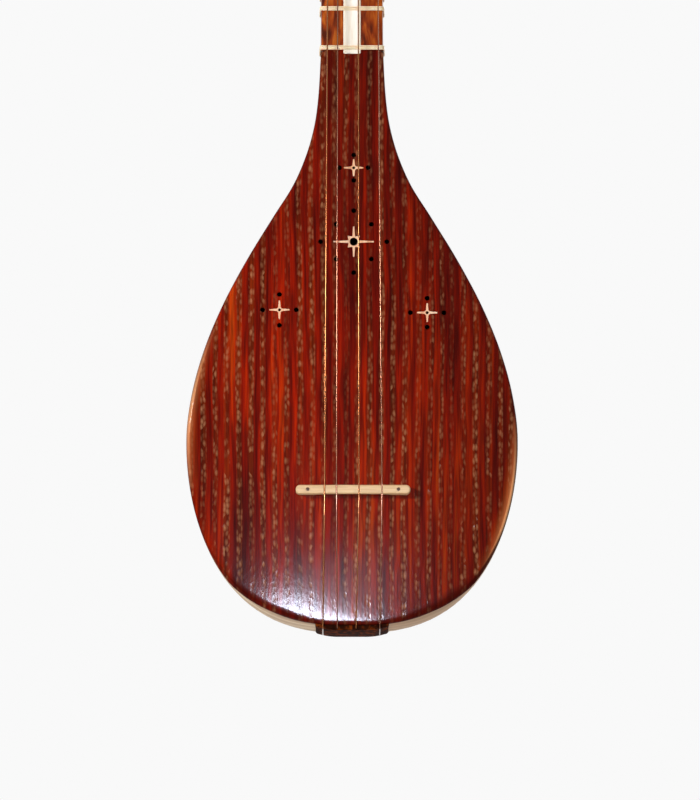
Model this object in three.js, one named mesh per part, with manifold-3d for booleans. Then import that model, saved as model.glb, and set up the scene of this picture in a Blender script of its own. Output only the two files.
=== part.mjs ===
// A setar, a long necked lute with a pear shaped bowl of bent ribs, four strings and tied gut frets.
// Lengths are in millimetres. +Z runs from the tail to the head, the soundboard faces -Y and the treble
// side is +X. The origin lies on the flat underside of the tailpiece, on the axis where all rib seams meet.

import * as THREE from 'three';
import { mergeVertices } from 'three/addons/utils/BufferGeometryUtils.js';
import Module from 'manifold-3d';

const wasm = await Module();
wasm.setup();

// Scale and strings
const speakingLength = 656;
const bridgePlace = 68;
const stringDiameters = [0.6, 0.6, 0.6, 0.8];
const stringNames = ['treble', 'second', 'third', 'bass'];
const octaveCents = 1200;

// Bowl, which ends just below the last fret
const bowlBase = 1.8;
const lastFretAboveBowl = 1.36;
const bowlHalfWidth = 81;
const bowlDepth = 130;
const rimOffset = 17;
const ribThickness = 3;
const ribCount = 11;
const tailFullnessShare = 1.98;
const tailBluntnessShare = 0.36;
const frontBulgeShare = 1.2;
const widestShare = 0.322;
const deepestShare = 0.36;
const ribStartShare = 0.0004;
const widthPlaceShares = [0.322, 0.4, 0.478, 0.556, 0.634, 0.712, 0.7645, 0.8163, 0.8685, 0.9203, 1];
const widthShares = [1, 0.969, 0.895, 0.783, 0.639, 0.473, 0.358, 0.28, 0.23, 0.206, 0.19];
const depthPlaceShares = [0.36, 0.44, 0.52, 0.6, 0.7, 0.8, 0.9, 1];
const depthShares = [1, 0.975, 0.9, 0.78, 0.59, 0.415, 0.29, 0.235];

// Clearance between pieces that are glued or seated on each other
const seatGap = 0.3;

// Soundboard
const boardThickness = 3;
const boardCrown = 2;
const soundHoleRadius = 1.2;
const smallEyeRadius = 0.75;
const largeEyeRadius = 2;
const topClusterReach = 7;
const largeClusterReach = 16.2;
const sideClusterReach = 8.2;
const diagonalReachShare = 0.75;
const starDepth = 1.2;
const starHalfWidth = 0.62;
const starRing = 0.6;
const starPointReach = 1.5;

// Inner pieces
const liningWidth = 5;
const liningHeight = 7;
const neckBlockLength = 44;
const tailBlockLength = 22;
const tailBlockHalfWidth = 30;
const tailBlockBack = 26;
const tenonHalfWidth = 7;
const tenonLength = 30;
const tenonBelowFace = 4;
const tenonDepth = 18;

// Neck and fingerboard
const nutHalfWidth = 13.1;
const neckBackAtNut = 6;
const neckCentreAtNut = 6;
const fingerboardThickness = 3;
const fingerboardEdge = 1;
const boneStripWidth = 8.5;
const boneStripOverlap = 1.7;

// Nut
const nutThickness = 4;
const nutHeight = 5.6;
const nutStringShares = [0.725, 0.19, -0.458, -0.725];

// Frets
const fretCents = [
  90, 135, 205, 295, 340, 410, 500, 565, 630, 700, 790, 835, 905,
  995, 1040, 1110, 1200, 1290, 1335, 1405, 1495, 1540, 1610, 1700, 1755, 1902,
];
const gutHeight = 0.8;
const gutShoulderShare = 0.8;
const gutBandWidth = 1.9;

// Bridge
const bridgeLength = 55.8;
const bridgeThickness = 4.3;
const bridgeHeight = 6;
const bridgeFootLength = 9;
const bridgeArchHeight = 3.4;
const bridgeOffset = 0.5;
const bridgeEyeRadius = 0.8;
const bridgeEyeDepth = 1.5;
const bridgeEyeInset = 5.8;
const bridgeStringShares = [0.523, 0.122, -0.272, -0.48];

// Tailpiece
const tailpieceWidth = 36;
const tailpieceFlatWidth = 14;
const tailpieceRise = 1.3;
const tailpieceCorner = 2;
const tailpieceBack = 14;
const tailpieceHeight = 12;
const tailStringShares = [0.75, 0.11, -0.4, -0.79];
const tailStringLift = 0.55;
const tailStringBend = 1.5;
const tailHookPlace = 8;

// Head and pegs
const headLength = 120;
const headHalfWidth = 12.2;
const headBackAtTop = 3.5;
const headCorner = 6;
const headTurn = 14;
const headTopRounding = 12;
const headTopShare = 0.6;
const headTaperShare = 0.25;
const pegRadius = 3.6;
const pegTipRadius = 3;
const pegPassThrough = 2;
const pegCollarRadius = 4.6;
const pegCollarLength = 2.5;
const pegHandleHalfWidth = 14;
const pegHandleLength = 19;
const pegHandleThickness = 7;
const pegHandleBevel = 1.2;
const pegWaist = 4;
const pegPlaceShares = [0.7, 0.35, 0.533, 0.19];
const sidePegBelowFace = 4.5;
const windingTurns = 4;
const windingPitchGap = 0.5;
const windingStart = 1.6;
const pegHoleRadius = 0.6;

// How finely curves are divided
const ribStations = 9;
const upperStations = 10;
const boardColumns = 6;
const neckArcSteps = 8;
const neckStations = 4;
const roundSides = 12;
const holeSides = 8;
const cordSides = 6;
const loopSteps = 24;
const cornerSteps = 4;
const closingHalvings = 24;

// What an overshooting cut reaches past the piece
const cutOverrun = 4;

// Derived places
const lastFretPlace = bridgePlace + speakingLength / 2 ** (Math.max(...fretCents) / octaveCents);
const bowlLength = lastFretPlace - lastFretAboveBowl - bowlBase;
const widestPlace = bowlLength * widestShare;
const deepestPlace = bowlLength * deepestShare;
const keelDepth = bowlDepth - rimOffset;
const jointPlace = bowlBase + bowlLength;
const nutPlace = bridgePlace + speakingLength;
const faceLevel = rimOffset + seatGap + boardThickness;
const stripBase = rimOffset + seatGap;
const fingerboardFace = stripBase + fingerboardThickness;
const headStart = nutPlace + nutThickness / 2 + seatGap;
const headTop = headStart + headLength;
const nutStringLevel = stripBase + nutHeight;
const windingRoom = windingStart + pegHoleRadius * 2
  + (windingTurns + 1) * (Math.max(...stringDiameters) + windingPitchGap);
const quarterTurn = Math.PI / 2;

// Finishes
function finish(color, roughness, metalness = 0) {
  return new THREE.MeshStandardMaterial({ color, roughness, metalness });
}

const finishes = {
  soundboard: finish(0x7a200e, 0.25),
  ribPale: finish(0xc2a482, 0.35),
  walnut: finish(0x8a4317, 0.35),
  fingerboard: finish(0xa4511d, 0.35),
  bone: finish(0xf4ead6, 0.4),
  inlay: finish(0xe8b07a, 0.45),
  spruceBlock: finish(0xb99a6b, 0.8),
  bridge: finish(0xe6cba2, 0.5),
  tailpiece: finish(0x42200f, 0.35),
  gut: finish(0xf3ddae, 0.45),
  steel: finish(0xd9c9b8, 0.25, 1),
  bronze: finish(0xd08a4c, 0.3, 1),
  peg: finish(0x5a2a12, 0.35),
};

// Reads a value between the points of a table of shares with a smooth cubic
function alongTable(places, values, place) {
  const last = places.length - 1;
  let i = 0;
  while (i < last - 1 && place > places[i + 1]) i += 1;
  const slopeAt = (j) => {
    if (j === 0) return 0;
    const next = Math.min(j + 1, last);
    return (values[next] - values[j - 1]) / (places[next] - places[j - 1]);
  };
  const span = places[i + 1] - places[i];
  const t = (place - places[i]) / span;
  const square = t * t;
  const cube = square * t;
  return values[i] * (2 * cube - 3 * square + 1) + slopeAt(i) * span * (cube - 2 * square + t)
    + values[i + 1] * (3 * square - 2 * cube) + slopeAt(i + 1) * span * (cube - square);
}

// The round swell of the bowl from its tail to its widest or deepest place, as a share of the full reach
function swell(share) {
  return (1 - (1 - Math.min(share, 1)) ** tailFullnessShare) ** tailBluntnessShare;
}

// Half the bowl's width at a place along it, taken in by a wall thickness
function sideSpan(place, inset) {
  if (place < widestPlace) return (bowlHalfWidth - inset) * swell(place / widestPlace);
  return bowlHalfWidth * alongTable(widthPlaceShares, widthShares, place / bowlLength) - inset;
}

// How far the bowl's back lies behind the seam axis
function backSpan(place, inset) {
  if (place < deepestPlace) return (keelDepth - inset) * swell(place / deepestPlace);
  return bowlDepth * alongTable(depthPlaceShares, depthShares, place / bowlLength) - rimOffset - inset;
}

// The reach of the arc on which the bowl's sides lean in towards the rim
function frontSpan(place, inset) {
  return frontBulgeShare * (bowlHalfWidth - inset) * swell(place / widestPlace);
}

// A point of the bowl's skin, where turn is measured round the seam axis from the keel
function skinPoint(place, turn, inset) {
  const toTail = 1 - Math.min(place / widestPlace, 1);
  const depth = Math.cos(turn) > 0 ? backSpan(place, inset) : frontSpan(place, inset);
  return new THREE.Vector3(
    sideSpan(place, inset) * Math.sin(turn),
    depth * Math.cos(turn),
    bowlBase + place + inset * toTail,
  );
}

// The turn at which the skin meets the rim plane, or the middle of the front below the soundboard
function rimTurn(place, inset) {
  const front = frontSpan(place, inset);
  if (front <= rimOffset) return Math.PI;
  return Math.acos(-rimOffset / front);
}

// Places along the bowl, closer together towards the tail where it curves most
function bowlPlaces(startShare) {
  const places = [];
  for (let i = 0; i < ribStations; i += 1) {
    const share = startShare ** (1 / 2) + (1 - startShare ** (1 / 2)) * (i / ribStations);
    places.push(widestPlace * share * share);
  }
  for (let i = 0; i <= upperStations; i += 1) {
    places.push(widestPlace + (bowlLength - seatGap - widestPlace) * (i / upperStations));
  }
  return places;
}

// Turns a geometry into one with shared vertices and its faces pointing out
function tidied(geometry) {
  const bare = geometry.clone();
  bare.deleteAttribute('normal');
  bare.deleteAttribute('uv');
  const merged = mergeVertices(bare);
  const source = merged.index.array;
  const spots = merged.attributes.position;
  const kept = [];
  let volume = 0;
  const [a, b, c] = [new THREE.Vector3(), new THREE.Vector3(), new THREE.Vector3()];
  for (let i = 0; i < source.length; i += 3) {
    const [p, q, r] = [source[i], source[i + 1], source[i + 2]];
    if (p !== q && q !== r && r !== p) {
      kept.push(p, q, r);
      a.fromBufferAttribute(spots, p);
      b.fromBufferAttribute(spots, q);
      c.fromBufferAttribute(spots, r);
      volume += a.dot(b.cross(c));
    }
  }
  if (volume < 0) {
    for (let i = 0; i < kept.length; i += 3) [kept[i], kept[i + 1]] = [kept[i + 1], kept[i]];
  }
  merged.setIndex(kept);
  return merged;
}

function solidOf(geometry) {
  const ready = tidied(geometry);
  return new wasm.Manifold(new wasm.Mesh({
    numProp: 3,
    vertProperties: new Float32Array(ready.attributes.position.array),
    triVerts: new Uint32Array(ready.index.array),
  }));
}

function geometryOf(solid) {
  const mesh = solid.getMesh();
  const geometry = new THREE.BufferGeometry();
  geometry.setAttribute('position', new THREE.BufferAttribute(new Float32Array(mesh.vertProperties), 3));
  geometry.setIndex(new THREE.BufferAttribute(new Uint32Array(mesh.triVerts), 1));
  return geometry;
}

function cut(body, tools) {
  return geometryOf(tools.reduce((rest, tool) => rest.subtract(solidOf(tool)), solidOf(body)));
}

function common(first, second) {
  return geometryOf(solidOf(first).intersect(solidOf(second)));
}

function joined(first, second) {
  return geometryOf(solidOf(first).add(solidOf(second)));
}

// Skins over a row of rings with equal counts of points, along the shorter diagonal of each four sided
// field. A closed row joins its last ring to its first, an open one gets end faces whose edges run across
// from each point to its partner on the ring.
function loft(rings, closed = false) {
  const count = rings[0].length;
  const all = rings.flat();
  const spots = all.flatMap((point) => [point.x, point.y, point.z]);
  const faces = [];
  const rows = closed ? rings.length : rings.length - 1;
  for (let i = 0; i < rows; i += 1) {
    const next = (i + 1) % rings.length;
    for (let j = 0; j < count; j += 1) {
      const k = (j + 1) % count;
      const [p, q, r, s] = [i * count + j, i * count + k, next * count + k, next * count + j];
      const rising = all[p].distanceTo(all[r]) <= all[q].distanceTo(all[s]);
      if (rising) faces.push(p, q, r, p, r, s);
      else faces.push(p, q, s, q, r, s);
    }
  }
  if (!closed) {
    const top = (rings.length - 1) * count;
    for (let j = 0; j < Math.floor((count - 1) / 2); j += 1) {
      const [p, q, r, s] = [j, j + 1, count - 2 - j, count - 1 - j];
      faces.push(p, s, q, top + p, top + q, top + s);
      if (r > q) faces.push(q, s, r, top + q, top + r, top + s);
    }
  }
  const geometry = new THREE.BufferGeometry();
  geometry.setAttribute('position', new THREE.BufferAttribute(new Float32Array(spots), 3));
  geometry.setIndex(faces);
  return geometry;
}

// Extrudes a shape drawn in X and Z along Y, from a front level to a back level
function alongY(shape, front, back) {
  const geometry = new THREE.ExtrudeGeometry(shape, {
    depth: back - front,
    bevelEnabled: false,
    curveSegments: cornerSteps,
  });
  geometry.rotateX(quarterTurn);
  geometry.translate(0, back, 0);
  return geometry;
}

function block(left, right, front, back, low, high) {
  const geometry = new THREE.BoxGeometry(right - left, back - front, high - low);
  geometry.translate((left + right) / 2, (front + back) / 2, (low + high) / 2);
  return geometry;
}

// A round bar between two points
function bar(start, end, startRadius, endRadius, sides) {
  const line = new THREE.Vector3().subVectors(end, start);
  const geometry = new THREE.CylinderGeometry(endRadius, startRadius, line.length(), sides);
  geometry.applyQuaternion(new THREE.Quaternion().setFromUnitVectors(
    new THREE.Vector3(0, 1, 0),
    line.clone().normalize(),
  ));
  geometry.translate((start.x + end.x) / 2, (start.y + end.y) / 2, (start.z + end.z) / 2);
  return geometry;
}

// A path whose own points are the steps of an extrusion along it
class SteppedPath extends THREE.Curve {
  constructor(points) {
    super();
    this.points = points;
  }

  getPoint(share) {
    return this.points[Math.round(share * (this.points.length - 1))].clone();
  }

  getPointAt(share) {
    return this.getPoint(share);
  }

  getSpacedPoints() {
    return this.points.map((point) => point.clone());
  }

  getTangentAt(share, target = new THREE.Vector3()) {
    const last = this.points.length - 1;
    const i = Math.round(share * last);
    const before = this.points[Math.max(i - 1, 0)];
    const here = this.points[i];
    const after = this.points[Math.min(i + 1, last)];
    const arriving = new THREE.Vector3().subVectors(here, before).normalize();
    const leaving = new THREE.Vector3().subVectors(after, here).normalize();
    return target.copy(arriving.add(leaving)).normalize();
  }
}

// A round cord through a list of points
function cordAlong(points, radius, sides) {
  const outline = new THREE.Shape();
  for (let i = 0; i < sides; i += 1) {
    const turn = (2 * Math.PI * i) / sides;
    if (i === 0) outline.moveTo(radius, 0);
    else outline.lineTo(radius * Math.cos(turn), radius * Math.sin(turn));
  }
  outline.closePath();
  return new THREE.ExtrudeGeometry(outline, {
    steps: points.length - 1,
    extrudePath: new SteppedPath(points),
    bevelEnabled: false,
  });
}

const setar = new THREE.Group();
setar.name = 'setar';

function addPiece(name, geometry, material) {
  const mesh = new THREE.Mesh(tidied(geometry), material.clone());
  mesh.name = name;
  setar.add(mesh);
}

// Seam turns from the bass side rim round the keel to the treble side rim
const seamStep = Math.PI / ribCount;
function seamTurn(seam, place, inset) {
  if (seam === 0) return -rimTurn(place, inset);
  if (seam === ribCount) return rimTurn(place, inset);
  return (seam - ribCount / 2) * seamStep;
}

// The turn that stands half a glue line away from a seam
function besideSeam(seam, side, place, inset) {
  const turn = seamTurn(seam, place, inset);
  const atRim = seam === 0 || seam === ribCount;
  if (atRim && Math.abs(turn) < Math.PI) return turn;
  const depth = Math.cos(turn) > 0 ? backSpan(place, inset) : frontSpan(place, inset);
  const pace = Math.hypot(sideSpan(place, inset) * Math.cos(turn), depth * Math.sin(turn));
  return turn + (side * seatGap) / 2 / pace;
}

// The bowl's ribs, each a thin curved stave between two seams
function buildRib(rib) {
  const rings = bowlPlaces(ribStartShare).map((place) => {
    const turnsAt = (inset) => {
      const low = besideSeam(rib, 1, place, inset);
      const high = besideSeam(rib + 1, -1, place, inset);
      return [low, (low + high) / 2, high];
    };
    const outer = turnsAt(0).map((turn) => skinPoint(place, turn, 0));
    const inner = turnsAt(ribThickness).map((turn) => skinPoint(place, turn, ribThickness));
    return [...outer, ...inner.reverse()];
  });
  return loft(rings);
}

// A solid that fills the bowl inside or outside its wall, open to the rim plane
function bowlFilling(inset) {
  const rings = bowlPlaces(ribStartShare).map((place) => {
    const ring = [];
    for (let seam = 0; seam < ribCount; seam += 1) {
      const low = seamTurn(seam, place, inset);
      const high = seamTurn(seam + 1, place, inset);
      ring.push(skinPoint(place, low, inset));
      ring.push(skinPoint(place, (low + high) / 2, inset));
    }
    ring.push(skinPoint(place, seamTurn(ribCount, place, inset), inset));
    return ring;
  });
  return loft(rings);
}

for (let rib = 0; rib < ribCount; rib += 1) {
  addPiece(`bowl_rib_${rib + 1}`, buildRib(rib), finishes.ribPale);
}

// Where the soundboard's outline starts at the tail, just above the point where the rim closes
function rimClosingPlace() {
  let low = 0;
  let high = widestPlace;
  for (let halving = 0; halving < closingHalvings; halving += 1) {
    const middle = (low + high) / 2;
    if (frontSpan(middle, 0) > rimOffset) high = middle;
    else low = middle;
  }
  return high;
}

const boardTailPlace = rimClosingPlace() + seatGap;

function rimHalfWidth(place) {
  return sideSpan(place, 0) * Math.sin(rimTurn(place, 0));
}

function boardPlaces() {
  const places = [];
  for (let i = 0; i < ribStations; i += 1) {
    const share = (i / ribStations) ** 2;
    places.push(boardTailPlace + (widestPlace - boardTailPlace) * share);
  }
  for (let i = 0; i <= upperStations; i += 1) {
    places.push(widestPlace + (bowlLength - widestPlace) * (i / upperStations));
  }
  return places;
}

// How far the soundboard's face stands in front of the seam axis, with a parabolic crown
function boardFace(x, place) {
  const half = rimHalfWidth(place);
  const crown = (boardCrown * (half * half - x * x)) / (bowlHalfWidth * bowlHalfWidth);
  return faceLevel + Math.max(crown, 0);
}

// The pierced clusters. Each has its place across and along the bowl, the reach of its holes from the
// middle, and as shares of that reach how high the upright holes stand and how long the star's points are.
const clusters = [
  { name: 'top', placeShares: [0.01, 0.795], reach: topClusterReach, shares: [0.89, 0.67, 0.6] },
  {
    name: 'middle',
    large: true,
    placeShares: [0.01, 0.666],
    reach: largeClusterReach,
    shares: [0.945, 0.605, 0.46],
  },
  { name: 'bass', placeShares: [-0.438, 0.5474], reach: sideClusterReach, shares: [0.93, 0.6, 0.56] },
  { name: 'treble', placeShares: [0.453, 0.5425], reach: sideClusterReach, shares: [0.87, 0.6, 0.56] },
].map(({ name, placeShares, reach, shares, large = false }) => ({
  name,
  large,
  x: bowlHalfWidth * placeShares[0],
  z: bowlBase + bowlLength * placeShares[1],
  across: reach,
  along: reach * shares[0],
  armAcross: reach * shares[1],
  armAlong: reach * shares[2],
  diagonal: reach * diagonalReachShare,
  eye: large ? largeEyeRadius : smallEyeRadius,
}));

// The star's outline, four long points and, round a large eye, four short ones between them
function starOutline(cluster, growth) {
  const waist = cluster.eye + starRing + growth;
  const shape = new THREE.Shape();
  const reaches = [cluster.armAcross, cluster.armAlong, cluster.armAcross, cluster.armAlong];
  reaches.forEach((reach, i) => {
    const along = new THREE.Vector2(Math.cos(i * quarterTurn), Math.sin(i * quarterTurn));
    const beside = new THREE.Vector2(-along.y, along.x);
    const spot = (out, side) => along.clone().multiplyScalar(out).addScaledVector(beside, side);
    const half = starHalfWidth + growth;
    const foot = Math.sqrt(Math.max(waist * waist - half * half, half * half));
    const tip = reach + growth;
    const points = [spot(foot, -half), spot(tip, -half / 2), spot(tip, half / 2), spot(foot, half)];
    if (cluster.large) {
      const diagonal = along.clone().add(beside).normalize();
      points.push(diagonal.multiplyScalar(waist + starPointReach));
    }
    points.forEach((point, j) => {
      if (i === 0 && j === 0) shape.moveTo(point.x, point.y);
      else shape.lineTo(point.x, point.y);
    });
  });
  shape.closePath();
  return shape;
}

function placedStar(cluster, growth, depth, lift) {
  const geometry = alongY(starOutline(cluster, growth), 0, depth);
  const place = cluster.z - bowlBase;
  const half = boardFace(cluster.x, place);
  const lean = Math.atan((2 * boardCrown * cluster.x) / (bowlHalfWidth * bowlHalfWidth));
  geometry.rotateZ(lean);
  geometry.translate(cluster.x, -half - lift, cluster.z);
  return geometry;
}

function eyeBar(x, z, radius) {
  const front = new THREE.Vector3(x, -faceLevel - boardCrown - cutOverrun, z);
  const back = new THREE.Vector3(x, -rimOffset + cutOverrun, z);
  return bar(front, back, radius, radius, holeSides);
}

// The outline of the bone strip's rounded end and its straight sides
function boneStripOutline(growth) {
  const half = boneStripWidth / 2 + growth;
  const low = jointPlace - boneStripOverlap - growth;
  const shoulder = boneStripOverlap / 2;
  const shape = new THREE.Shape();
  shape.moveTo(-half, nutPlace - nutThickness / 2 - seatGap);
  shape.lineTo(-half, low + shoulder);
  shape.quadraticCurveTo(-half, low, -half + shoulder, low);
  shape.lineTo(half - shoulder, low);
  shape.quadraticCurveTo(half, low, half, low + shoulder);
  shape.lineTo(half, nutPlace - nutThickness / 2 - seatGap);
  shape.closePath();
  return shape;
}

// The soundboard, a domed plate that ends flush with the bowl's outer skin
function buildSoundboard() {
  const rings = boardPlaces().map((place) => {
    const half = rimHalfWidth(place);
    const front = [];
    const back = [];
    for (let i = 0; i <= boardColumns; i += 1) {
      const x = half * ((2 * i) / boardColumns - 1);
      const face = boardFace(x, place);
      front.push(new THREE.Vector3(x, -face, bowlBase + place));
      back.unshift(new THREE.Vector3(x, -face + boardThickness, bowlBase + place));
    }
    return [...front, ...back];
  });
  const tools = [alongY(boneStripOutline(seatGap), -faceLevel - cutOverrun, 0)];
  clusters.forEach((cluster) => {
    tools.push(placedStar(cluster, seatGap, starDepth + cutOverrun + seatGap, cutOverrun));
    tools.push(eyeBar(cluster.x, cluster.z, cluster.eye));
    for (let i = 0; i < 4; i += 1) {
      const [out, up] = [Math.cos(i * quarterTurn), Math.sin(i * quarterTurn)];
      tools.push(eyeBar(cluster.x + cluster.across * out, cluster.z + cluster.along * up, soundHoleRadius));
      if (cluster.large) {
        const turn = (i + 1 / 2) * quarterTurn;
        const [aside, above] = [Math.cos(turn), Math.sin(turn)].map((part) => part * cluster.diagonal);
        tools.push(eyeBar(cluster.x + aside, cluster.z + above, soundHoleRadius));
      }
    }
  });
  return cut(loft(rings), tools);
}

addPiece('soundboard', buildSoundboard(), finishes.soundboard);

clusters.forEach((cluster) => {
  const star = cut(placedStar(cluster, 0, starDepth, 0), [eyeBar(cluster.x, cluster.z, cluster.eye)]);
  addPiece(`star_inlay_${cluster.name}`, star, finishes.inlay);
});

// Inner pieces, cut from the bowl's hollow so that they follow its wall
function hollowSlab(front, back, low, high, halfWidth) {
  return common(bowlFilling(ribThickness + seatGap), block(-halfWidth, halfWidth, front, back, low, high));
}

const neckBlockLow = jointPlace - neckBlockLength;
const liningBack = -rimOffset + liningHeight;
const insideLow = bowlBase + ribThickness + seatGap;

const liningSlab = hollowSlab(-rimOffset, liningBack, 0, neckBlockLow - seatGap, bowlHalfWidth);
addPiece(
  'rim_lining',
  cut(liningSlab, [bowlFilling(ribThickness + seatGap + liningWidth)]),
  finishes.spruceBlock,
);
addPiece(
  'tail_block',
  hollowSlab(liningBack + seatGap, tailBlockBack, 0, insideLow + tailBlockLength, tailBlockHalfWidth),
  finishes.spruceBlock,
);

const tenonLow = jointPlace - tenonLength;
const tenonFront = -rimOffset + tenonBelowFace;
const tenonBack = tenonFront + tenonDepth;
const mortise = block(
  -tenonHalfWidth - seatGap,
  tenonHalfWidth + seatGap,
  tenonFront - seatGap,
  tenonBack + seatGap,
  tenonLow - seatGap,
  jointPlace + cutOverrun,
);
addPiece(
  'neck_block',
  cut(hollowSlab(-rimOffset, keelDepth, neckBlockLow, jointPlace, bowlHalfWidth), [mortise]),
  finishes.spruceBlock,
);

// The neck's outer form, which runs on from the bowl's end and grows slimmer towards the nut
function neckForm(z) {
  const share = (z - jointPlace) / (nutPlace - jointPlace);
  const atJoint = { half: sideSpan(bowlLength, 0), back: backSpan(bowlLength, 0) };
  const half = THREE.MathUtils.lerp(atJoint.half, nutHalfWidth, share);
  const back = THREE.MathUtils.lerp(atJoint.back, neckBackAtNut, share);
  const centre = -neckCentreAtNut * share;
  return { half, back, centre };
}

// Half the neck's width at a level in front of its widest line
function neckSide(z, level) {
  const form = neckForm(z);
  const reach = frontBulgeShare * bowlHalfWidth;
  const lean = (level + form.centre) / reach;
  return form.half * Math.sqrt(1 - lean * lean);
}

// The neck's back arc from the treble side round to the bass side
function neckBackArc(z) {
  const form = neckForm(z);
  const points = [];
  for (let i = 0; i <= neckArcSteps; i += 1) {
    const turn = (Math.PI * i) / neckArcSteps;
    const depth = (form.back - form.centre) * Math.sin(turn);
    points.push(new THREE.Vector3(form.half * Math.cos(turn), form.centre + depth, z));
  }
  return points;
}

function neckCoreRing(z) {
  const side = neckSide(z, rimOffset);
  const corner = (x) => new THREE.Vector3(x, -rimOffset, z);
  return [corner(side), ...neckBackArc(z), corner(-side)];
}

// The head's section: a flat face with rounded corners, and a round back that thins towards the top
function headRing(z) {
  const share = (z - headStart) / headLength;
  const form = neckForm(Math.min(z, headStart));
  const half = THREE.MathUtils.lerp(form.half, headHalfWidth, Math.min(share / headTaperShare, 1));
  const back = THREE.MathUtils.lerp(form.back, headBackAtTop, share);
  const corner = headCorner * Math.min((z - headStart + nutThickness) / headTurn, 1);
  const toTop = Math.min((headTop - z) / headTopRounding, 1);
  const squeeze = Math.sqrt(1 - (1 - toTop) ** 2 * (1 - headTopShare ** 2));
  const front = -rimOffset;
  const middle = (front + back) / 2;
  const points = [];
  for (let i = 0; i <= cornerSteps; i += 1) {
    const turn = (quarterTurn * i) / cornerSteps;
    points.push([half - corner + corner * Math.sin(turn), front + corner - corner * Math.cos(turn)]);
  }
  const centre = front + corner;
  for (let i = 1; i <= neckArcSteps / 2; i += 1) {
    const turn = (quarterTurn * i) / (neckArcSteps / 2);
    points.push([half * Math.cos(turn), centre + (back - centre) * Math.sin(turn)]);
  }
  const mirrored = points.slice(0, -1).reverse().map(([x, y]) => [-x, y]);
  return [...points, ...mirrored].map(([x, y]) => new THREE.Vector3(
    x * squeeze,
    middle + (y - middle) * squeeze,
    z,
  ));
}

function buildNeck() {
  const rings = [];
  for (let i = 0; i <= neckStations; i += 1) {
    rings.push(neckCoreRing(THREE.MathUtils.lerp(jointPlace, headStart, i / neckStations)));
  }
  const tenonHigh = jointPlace + tenonHalfWidth;
  const tenon = block(-tenonHalfWidth, tenonHalfWidth, tenonFront, tenonBack, tenonLow, tenonHigh);
  const low = headStart - seatGap;
  const straight = headTop - headTopRounding;
  const heads = [low, headStart + headTurn / 2, headStart + headTurn, headStart + 2 * headTurn, straight];
  for (let i = 1; i <= cornerSteps; i += 1) {
    heads.push(straight + headTopRounding * Math.sin((quarterTurn * i) / cornerSteps));
  }
  const whole = joined(joined(loft(rings), tenon), loft(heads.map(headRing)));
  return cut(whole, pegs.map((peg) => peg.bore));
}

// The four pegs. The two treble strings wind on pegs from the front, the other two on pegs from the side.
const pegs = pegPlaceShares.map((share, i) => {
  const fromFront = i < 2;
  const z = headStart + headLength * share;
  const out = fromFront ? new THREE.Vector3(0, -1, 0) : new THREE.Vector3(-1, 0, 0);
  const surface = fromFront ? rimOffset : headHalfWidth;
  const through = fromFront ? THREE.MathUtils.lerp(neckBackAtNut, headBackAtTop, share) : headHalfWidth;
  const foot = new THREE.Vector3(0, fromFront ? 0 : -rimOffset + sidePegBelowFace, z);
  const at = (reach) => foot.clone().addScaledVector(out, reach);
  const bore = bar(
    at(surface + cutOverrun),
    at(-through - cutOverrun),
    pegRadius + seatGap,
    pegTipRadius + seatGap,
    roundSides,
  );
  return { fromFront, surface, through, at, bore, out, z };
});

addPiece('neck', buildNeck(), finishes.walnut);

// A peg: tapered shaft with a string hole, a collar and a flared flat handle
function buildPeg(peg) {
  const tip = -peg.through - pegPassThrough;
  const collar = peg.surface + windingRoom;
  const profile = [
    [0, tip],
    [pegTipRadius / 2, tip],
    [pegTipRadius, tip + pegPassThrough / 2],
    [pegRadius, peg.surface],
    [pegRadius, collar],
    [pegCollarRadius, collar + pegCollarLength / 3],
    [pegCollarRadius, collar + (2 * pegCollarLength) / 3],
    [pegRadius, collar + pegCollarLength],
    [pegRadius, collar + pegCollarLength + pegHandleBevel * 2],
    [0, collar + pegCollarLength + pegHandleBevel * 2],
  ];
  const shaft = new THREE.LatheGeometry(profile.map(([r, y]) => new THREE.Vector2(r, y)), roundSides);
  const outline = new THREE.Shape();
  const base = collar + pegCollarLength;
  const wide = pegHandleHalfWidth - pegHandleBevel;
  const top = base + pegHandleLength;
  const middle = base + pegHandleLength / 2;
  outline.moveTo(-pegWaist, base);
  outline.lineTo(pegWaist, base);
  outline.quadraticCurveTo(pegWaist, middle, wide, middle);
  outline.quadraticCurveTo(wide + pegHandleBevel, top - pegHandleBevel, wide / 2, top - pegHandleBevel);
  outline.quadraticCurveTo(0, top, -wide / 2, top - pegHandleBevel);
  outline.quadraticCurveTo(-wide - pegHandleBevel, top - pegHandleBevel, -wide, middle);
  outline.quadraticCurveTo(-pegWaist, middle, -pegWaist, base);
  const handle = new THREE.ExtrudeGeometry(outline, {
    depth: pegHandleThickness - pegHandleBevel * 2,
    bevelThickness: pegHandleBevel,
    bevelSize: pegHandleBevel / 2,
    bevelSegments: 1,
    curveSegments: cornerSteps,
  });
  handle.translate(0, 0, -pegHandleThickness / 2 + pegHandleBevel);
  const holeReach = peg.surface + windingReach(peg);
  const hole = bar(
    new THREE.Vector3(0, holeReach, -pegRadius - cutOverrun),
    new THREE.Vector3(0, holeReach, pegRadius + cutOverrun),
    pegHoleRadius,
    pegHoleRadius,
    holeSides,
  );
  const whole = cut(joined(shaft, handle), [hole]);
  const facing = new THREE.Quaternion().setFromUnitVectors(new THREE.Vector3(0, 1, 0), peg.out);
  whole.applyQuaternion(facing);
  const foot = peg.at(0);
  whole.translate(foot.x, foot.y, foot.z);
  return whole;
}

// How far from the head's surface the peg's string hole lies, one pitch past the last loop
function windingReach(peg) {
  const diameter = stringDiameters[pegs.indexOf(peg)];
  return windingStart + (windingTurns + 1) * (diameter + windingPitchGap);
}

pegs.forEach((peg, i) => addPiece(`peg_${stringNames[i]}`, buildPeg(peg), finishes.peg));

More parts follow.
